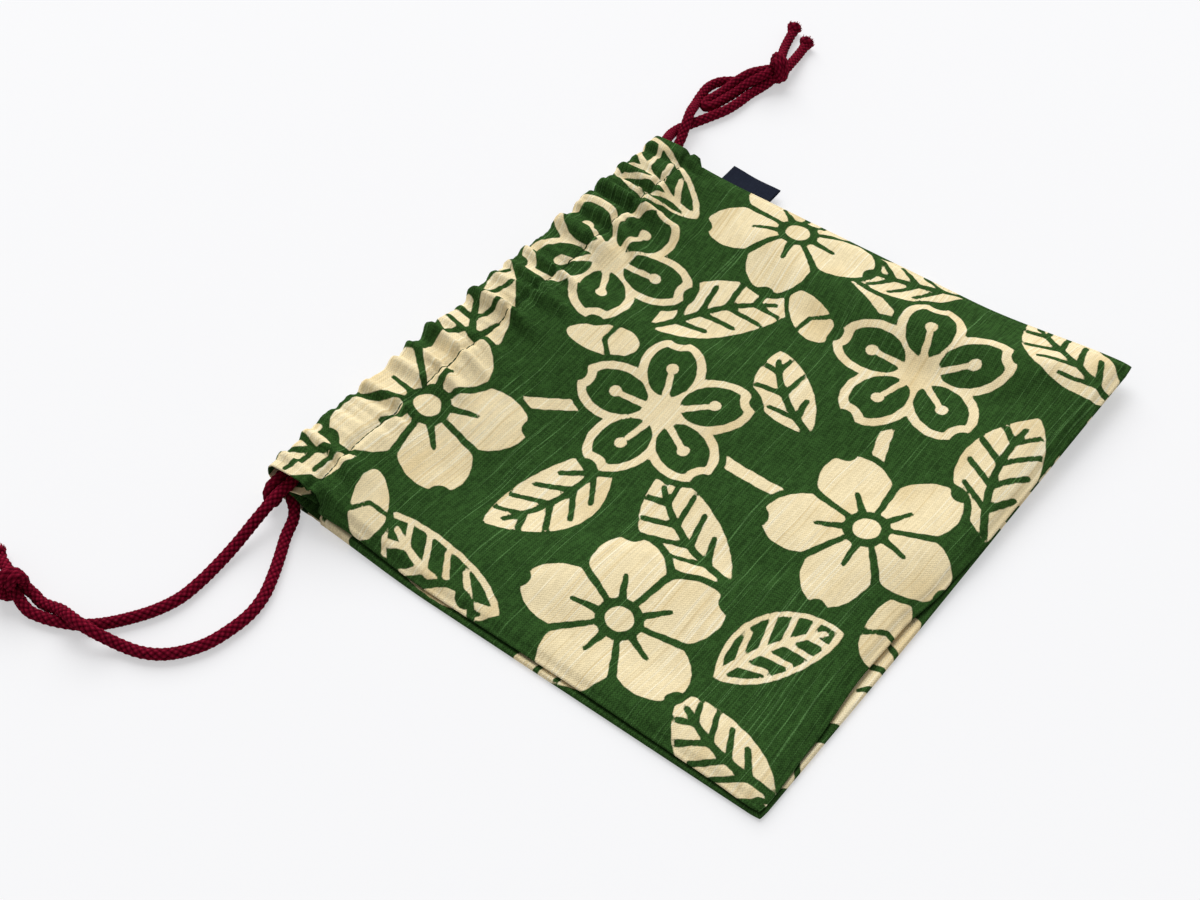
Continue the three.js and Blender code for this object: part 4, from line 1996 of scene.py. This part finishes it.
@dataclass(frozen=True)
class PrintedClothFinish:
    """Slubbed cotton with a pale print on a dark ground, and painted shade and highlight in its weave."""

    ground: Colour = srgb(47, 77, 35)
    ground_light: Colour = srgb(84, 122, 70)
    pale: Colour = srgb(240, 223, 181)
    pale_light: Colour = srgb(252, 243, 214)
    pale_dark: Colour = srgb(214, 188, 134)
    thread: float = 0.56
    edge: float = 0.24
    edge_grain: float = 0.28
    slub_sway: float = 8.0
    slub_stretch: Place = (0.007, 1.0, 1.0)
    patch_stretch: Place = (0.018, 0.05, 1.0)
    ground_slub: Pair = (0.625, 0.69)
    pale_slub: Pair = (0.54, 0.66)
    dark_slub: Pair = (0.53, 0.7)
    dark_patch: Pair = (0.48, 0.72)
    ground_slub_share: float = 0.75
    pale_slub_share: float = 0.8
    dark_slub_share: float = 0.55
    dark_patch_share: float = 0.5
    ground_tones: Pair = (0.67, 1.3)
    # Painted shade in the weave's hollows and painted highlight on its crossings, on the ground
    ground_weave_shade: Pair = (0.68, 1.1)
    pale_tones: Pair = (0.92, 1.07)
    # The same painted shade and highlight on the pale print
    pale_weave_shade: Pair = (0.9, 1.03)
    slub_height: float = 0.9
    relief: Pair = (0.55, 0.16)
    roughness: float = 0.92

    def material(self, weave: Group) -> Material:
        """Builds the cloth's material.

        Args:
            weave: The plain weave group.

        Returns:
            The material.
        """
        material, sheet, shader = new_material("printed cloth", self.roughness)
        place = sheet.attribute("cloth_place", "Vector")
        woven = sheet.use(weave, Place=place, Thread=self.thread)
        grain = sheet.noise(place, 1.6)
        rough_edge = sheet.math("MULTIPLY_ADD", grain, self.edge_grain, -self.edge_grain / 2.0)
        distance = sheet.math("ADD", sheet.attribute("print_distance", "Fac"), rough_edge)
        printed = sheet.scaled(distance, self.edge, -self.edge)
        slow = sheet.noise(place, 0.016, 1.0)
        sway = sheet.math("MULTIPLY_ADD", slow, -self.slub_sway, self.slub_sway / 2.0)
        swayed = sheet.add("ShaderNodeCombineXYZ")
        sheet.join(sway, swayed.inputs["Y"])
        wander = sheet.vector("ADD", place, swayed.outputs[0])
        wander = sheet.vector("MULTIPLY", wander, self.slub_stretch)
        lines = sheet.noise(wander, 1.1, 1.5)
        streak = sheet.scaled(lines, *self.ground_slub)
        pale_streak = sheet.scaled(lines, *self.pale_slub)
        dark_streak = sheet.scaled(sheet.noise(wander, 0.8, 3.0), *self.dark_slub)
        fine = sheet.scaled(woven.outputs["Tone"], 0.35, 0.65)
        share = sheet.math("MULTIPLY", streak, self.ground_slub_share)
        ground = sheet.mix(share, self.ground, self.ground_light)
        share = sheet.math("MULTIPLY", pale_streak, self.pale_slub_share)
        pale = sheet.mix(share, self.pale, self.pale_light)
        share = sheet.math("MULTIPLY", dark_streak, self.dark_slub_share)
        pale = sheet.mix(share, pale, self.pale_dark)
        broad = sheet.noise(sheet.vector("MULTIPLY", place, self.patch_stretch), 1.0)
        patch = sheet.scaled(broad, *self.dark_patch, 0.0, self.dark_patch_share)
        pale = sheet.mix(patch, pale, self.pale_dark)
        dyed = sheet.scaled(fine, 0.0, 1.0, *self.ground_tones)
        # Painted shade and highlight: the weave's height darkens the colour in the hollows between threads
        # and lightens it on their crossings
        ground_weave_shading = sheet.scaled(woven.outputs["Height"], 0.0, 0.6, *self.ground_weave_shade)
        ground = sheet.mix(1.0, ground, sheet.math("MULTIPLY", dyed, ground_weave_shading), "MULTIPLY")
        bleached = sheet.scaled(fine, 0.0, 1.0, *self.pale_tones)
        pale_weave_shading = sheet.scaled(woven.outputs["Height"], 0.0, 0.6, *self.pale_weave_shade)
        pale = sheet.mix(1.0, pale, sheet.math("MULTIPLY", bleached, pale_weave_shading), "MULTIPLY")
        colour = sheet.mix(printed, ground, pale)
        sheet.join(colour, shader.inputs["Base Color"])
        height = sheet.math("MULTIPLY_ADD", streak, self.slub_height, woven.outputs["Height"])
        sheet.join(sheet.bump(height, *self.relief), shader.inputs["Normal"])
        return material


@dataclass(frozen=True)
class BraidFinish:
    """Matt yarn of a braided cord, with painted shade in its grooves and a painted highlight on its crowns.
    """

    # The groove colour is painted shade and the crown colour a painted highlight, either side of the yarn's
    # own colour
    groove: Colour = srgb(40, 0, 8)
    yarn: Colour = srgb(109, 11, 34)
    crown: Colour = srgb(151, 29, 56)
    fineness: float = 5.0
    tones: Pair = (0.72, 1.18)
    groove_shade_heights: Pair = (0.1, 0.75)
    crown_highlight_heights: Pair = (0.7, 1.0)
    crown_highlight_share: float = 0.75
    relief: Pair = (0.5, 0.12)
    roughness: float = 0.82

    def material(self, fibres: Group) -> Material:
        """Builds the cord's material.

        Args:
            fibres: The yarn fibres group.

        Returns:
            The material.
        """
        material, sheet, shader = new_material("braided yarn", self.roughness)
        place = sheet.attribute("cord_place", "Vector")
        height = sheet.attribute("braid_height", "Fac")
        yarn = sheet.use(fibres, Place=place, Fineness=self.fineness)
        # Painted shade and highlight: the braid's height darkens the colour in the grooves and lightens it on
        # the crowns
        low = sheet.scaled(height, *self.groove_shade_heights)
        high = sheet.scaled(height, *self.crown_highlight_heights, 0.0, self.crown_highlight_share)
        colour = sheet.mix(low, self.groove, self.yarn)
        colour = sheet.mix(high, colour, self.crown)
        tone = sheet.scaled(yarn.outputs["Tone"], 0.3, 0.7, *self.tones)
        colour = sheet.mix(1.0, colour, tone, "MULTIPLY")
        sheet.join(colour, shader.inputs["Base Color"])
        sheet.join(sheet.bump(yarn.outputs["Height"], *self.relief), shader.inputs["Normal"])
        return material


@dataclass(frozen=True)
class ThreadFinish:
    """Sewing thread."""

    light: Colour = srgb(50, 80, 42)
    dark: Colour = srgb(24, 44, 20)
    fineness: float = 14.0
    relief: Pair = (0.4, 0.05)
    roughness: float = 0.7

    def material(self, fibres: Group) -> Material:
        """Builds the thread's material.

        Args:
            fibres: The yarn fibres group.

        Returns:
            The material.
        """
        material, sheet, shader = new_material("sewing thread", self.roughness)
        yarn = sheet.use(fibres, Place=sheet.attribute("cord_place", "Vector"), Fineness=self.fineness)
        colour = sheet.mix(sheet.scaled(yarn.outputs["Tone"], 0.3, 0.7), self.dark, self.light)
        sheet.join(colour, shader.inputs["Base Color"])
        sheet.join(sheet.bump(yarn.outputs["Height"], *self.relief), shader.inputs["Normal"])
        return material


@dataclass(frozen=True)
class LabelFinish:
    """Tightly woven dark label, with painted shade in its weave's hollows and painted highlight on its
    crossings.
    """

    # light and dark span the weave's uneven tone and its painted shade and highlight
    light: Colour = srgb(38, 44, 60)
    dark: Colour = srgb(16, 20, 32)
    thread: float = 0.24
    relief: Pair = (0.4, 0.06)
    roughness: float = 0.62

    def material(self, weave: Group) -> Material:
        """Builds the label's material.

        Args:
            weave: The plain weave group.

        Returns:
            The material.
        """
        material, sheet, shader = new_material("woven label", self.roughness)
        woven = sheet.use(weave, Place=sheet.attribute("cloth_place", "Vector"), Thread=self.thread)
        tone = sheet.math("MULTIPLY", woven.outputs["Tone"], 0.5)
        # Painted shade and highlight: half the mix is the weave's height, darker in its hollows and lighter
        # on its crossings; the other half is its uneven tone
        share = sheet.math("MULTIPLY_ADD", woven.outputs["Height"], 0.5, tone)
        colour = sheet.mix(sheet.scaled(share, 0.2, 0.8), self.dark, self.light)
        sheet.join(colour, shader.inputs["Base Color"])
        sheet.join(sheet.bump(woven.outputs["Height"], *self.relief), shader.inputs["Normal"])
        return material


# Studio


@dataclass(frozen=True)
class Studio:
    """The pale floor, the soft light and the camera."""

    floor_colour: Colour = srgb(247, 247, 249)
    glow_colour: Colour = srgb(249, 249, 250)
    glow_share: float = 0.5
    floor_half: float = 4000.0
    floor_z: float = -0.05
    sky_strength: float = 0.34
    key_place: Place = (6200.0, 6000.0, 8200.0)
    key_target: Place = (0.0, 0.0, 0.0)
    key_size: float = 11500.0
    key_power: float = 1780.0
    camera_place: Place = (-403.1, -283.4, 548.8)
    camera_target: Place = (-29.5, 28.3, 0.0)
    camera_roll: float = 1.75
    camera_start: float = 10.0
    lens: float = 57.0
    sensor: float = 36.0

    def build(self) -> None:
        """Sets up floor, light and camera."""
        scene = bpy.context.scene
        scene.view_settings.view_transform = "Standard"
        self.floor()
        self.sky(scene)
        self.key_lamp(scene)
        camera = bpy.data.cameras.new("camera")
        camera.lens = self.lens
        camera.sensor_width = self.sensor
        camera.sensor_fit = "HORIZONTAL"
        camera.clip_start = self.camera_start * MM
        holder = bpy.data.objects.new("camera", camera)
        holder.matrix_world = self.aimed(self.camera_place, self.camera_target, -self.camera_roll)
        scene.collection.objects.link(holder)
        scene.camera = holder

    def aimed(self, place: Place, target: Place, roll: float) -> Matrix:
        """Placement of a lamp or camera that looks at a target.

        Args:
            place: Where it is.
            target: What it looks at.
            roll: Its turn about its own view, in degrees.

        Returns:
            Its matrix.
        """
        ahead = (Vector(target) - Vector(place)) * MM
        turn = ahead.to_track_quat("-Z", "Y").to_matrix().to_4x4()
        return Matrix.Translation(Vector(place) * MM) @ turn @ Matrix.Rotation(math.radians(roll), 4, "Z")

    def key_lamp(self, scene: bpy.types.Scene) -> None:
        """Adds the soft square lamp.

        Args:
            scene: The scene that it lights.
        """
        lamp = bpy.data.lights.new("key light", "AREA")
        lamp.size = self.key_size * MM
        lamp.energy = self.key_power
        holder = bpy.data.objects.new("key light", lamp)
        holder.matrix_world = self.aimed(self.key_place, self.key_target, 0.0)
        scene.collection.objects.link(holder)

    def sky(self, scene: bpy.types.Scene) -> None:
        """Lights the scene evenly, and shows white to the camera.

        Args:
            scene: The scene that it lights.
        """
        world = bpy.data.worlds.new("studio")
        scene.world = world
        world.use_nodes = True
        sheet = NodeSheet(world.node_tree)
        back = world.node_tree.nodes["Background"]
        back.inputs["Color"].default_value = (1.0, 1.0, 1.0, 1.0)
        strength = sheet.scaled(self.seen(sheet), 0.0, 1.0, self.sky_strength, 1.0)
        sheet.join(strength, back.inputs["Strength"])

    def seen(self, sheet: NodeSheet) -> Socket:
        """Says 1 on rays by which a surface is seen, straight or in a glossy or clear one.

        Args:
            sheet: The nodes that it is added to.

        Returns:
            The value.
        """
        path = sheet.add("ShaderNodeLightPath")
        straight = sheet.math("MAXIMUM", path.outputs["Is Camera Ray"], path.outputs["Is Glossy Ray"])
        return sheet.math("MAXIMUM", straight, path.outputs["Is Transmission Ray"])

    def floor(self) -> None:
        """Lays the floor."""
        work = bmesh.new()
        bmesh.ops.create_grid(work, x_segments=1, y_segments=1, size=self.floor_half * MM)
        bmesh.ops.translate(work, verts=work.verts[:], vec=(0.0, 0.0, self.floor_z * MM))
        mesh = bpy.data.meshes.new("floor")
        work.to_mesh(mesh)
        work.free()
        material, sheet, shader = new_material("floor", roughness=1.0, specular=0.0)
        shader.inputs["Base Color"].default_value = self.floor_colour
        glow = sheet.add("ShaderNodeEmission")
        glow.inputs["Color"].default_value = self.glow_colour
        blend = sheet.add("ShaderNodeMixShader")
        sheet.join(sheet.math("MULTIPLY", self.seen(sheet), self.glow_share), blend.inputs[0])
        sheet.join(shader.outputs[0], blend.inputs[1])
        sheet.join(glow.outputs[0], blend.inputs[2])
        sheet.join(blend.outputs[0], material.node_tree.nodes["Material Output"].inputs["Surface"])
        mesh.materials.append(material)
        floor = bpy.data.objects.new("floor", mesh)
        bpy.context.scene.collection.objects.link(floor)


# The whole pouch


# How far the front panel's edge stays inside the back one's, by the way round the seam
FRONT_INSET = (
    (0, 1.0), (30, 2.2), (120, 2.4), (185, 1.6), (199, 1.0), (225, 2.0), (262, 4.6), (285, 4.2),
    (310, 1.4), (335, 0.2), (439, -0.4), (470, 0.0), (640, 0.0),
)
BACK_INSET = ((0, 0.0), (640, 0.0))
FRONT_PLEATS = (
    Pleats(
        height=3.7, seed=11, half_width=(2.6, 8.0), length=(12.0, 40.0), share=(0.05, 1.0), roundness=1.35,
    ),
    Pleats(
        height=0.9, seed=4, half_width=(1.6, 3.0), length=(8.0, 24.0), share=(0.1, 1.0), roundness=1.2,
    ),
    Pleats(
        height=1.6, seed=21, half_width=(10.0, 17.0), length=(60.0, 130.0), share=(0.0, 1.0), drift=0.1,
        spread=90.0,
    ),
)
FRONT_CREASES = (
    Crease(
        ((-112.0, 104.0), (-80.0, 98.0), (-40.0, 95.0), (0.0, 95.0), (40.0, 98.0), (66.0, 101.0)),
        height=4.2, left=15.0, right=16.0,
    ),
    Crease(
        ((-112.0, 84.0), (-67.0, 76.5), (-28.0, 72.0), (6.0, 72.7), (38.0, 76.0)),
        height=-1.0, left=10.0, right=7.0,
    ),
    Crease(((-92.0, -36.0), (-78.0, -42.0), (-38.0, -61.0), (10.0, -70.0)), height=1.2),
    Crease(((0.0, 34.0), (50.0, 24.0), (100.0, 21.0)), height=2.2, right=8.0),
    Crease(((-70.0, 8.0), (-20.0, 12.0), (30.0, 4.0)), height=0.9, right=9.0),
)
BACK_PLEATS = (Pleats(height=SIZES.back_gather, seed=5, half_width=(5.5, 11.5), length=(26.0, 60.0)),)


def right_turn() -> list[Place]:
    """Upright turn of the left cord at the right hem end, from the front channel to the back one.

    Returns:
        Places along the turn.
    """
    radius = (SIZES.front_cord_z - SIZES.back_cord_z) / 2
    places = []
    for degrees in RIGHT_TURN_ANGLES:
        angle = math.radians(degrees)
        x = SIZES.mouth_half + SIZES.turn_reach + radius * math.cos(angle)
        places.append((x, SIZES.inner_cord_y, SIZES.back_cord_z + radius * (1.0 + math.sin(angle))))
    return places


def build_cloth(weave: Group, fibres: Group) -> list[Piece]:
    """Makes both panels, their stitches and the label.

    Args:
        weave: The plain weave group.
        fibres: The yarn fibres group.

    Returns:
        The new pieces.
    """
    design = BlossomPrint()
    cloth = PrintedClothFinish().material(weave)
    thread = ThreadFinish().material(fibres)
    front = ClothPanel(
        Side.FRONT, FRONT_PLEATS, print_shift=(0.0, 0.0), inset=FRONT_INSET, land=2.5, creases=FRONT_CREASES,
    )
    back = ClothPanel(
        Side.BACK, BACK_PLEATS, print_shift=(256.0, 192.0), inset=BACK_INSET, land=8.0, body_step=1.36,
    )
    pieces = []
    for panel, name, node in ((front, "front_cloth", "front_panel"), (back, "back_cloth", "back_panel")):
        piece = panel.build(name, design, cloth)
        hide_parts(node)
        stitches = HemStitches(f"{name}_stitches", panel).build(thread)
        pieces.extend([piece, stitches])
    pieces.append(FoldedLabel().build(LabelFinish().material(weave)))
    return pieces


def build_cords(fibres: Group) -> list[Piece]:
    """Makes both drawstrings with their knots.

    Args:
        fibres: The yarn fibres group.

    Returns:
        The new pieces.
    """
    yarn = BraidFinish().material(fibres)
    left_turn = [beyond_mouth(-1.0, *place) for place in LEFT_TURN]
    cords = (
        (
            DrawCord(
                "left", "left_cord", hand=-1.0, knot=LEFT_KNOT, channel_y=SIZES.inner_cord_y,
                front=LEFT_FRONT_STRAND, back=LEFT_BACK_STRAND, turn=right_turn(), front_entry=1.0,
            ),
            CordKnot("left_knot", "left_cord_knot", LEFT_KNOT, seed=3),
        ),
        (
            DrawCord(
                "right", "right_cord", hand=1.0, knot=RIGHT_KNOT, channel_y=SIZES.outer_cord_y,
                front=RIGHT_FRONT_STRAND, back=RIGHT_BACK_STRAND, turn=left_turn, front_entry=-1.0,
            ),
            CordKnot("right_knot", "right_cord_knot", RIGHT_KNOT, seed=8),
        ),
    )
    pieces = []
    for cord, knot in cords:
        knot_piece = knot.build(yarn)
        pieces.extend([knot_piece, *cord.build(yarn, knot_piece)])
    return pieces


def main() -> None:
    """Builds the pouch piece by piece and sets the stage."""
    logging.basicConfig(level=logging.INFO, format="%(name)s: %(message)s")
    weave = plain_weave_group()
    fibres = fibre_group()
    Studio().build()
    for piece in (*build_cords(fibres), *build_cloth(weave, fibres)):
        LOG.info("%s: %d faces", piece.name, len(piece.data.polygons))


if __name__ == "__main__":
    main()
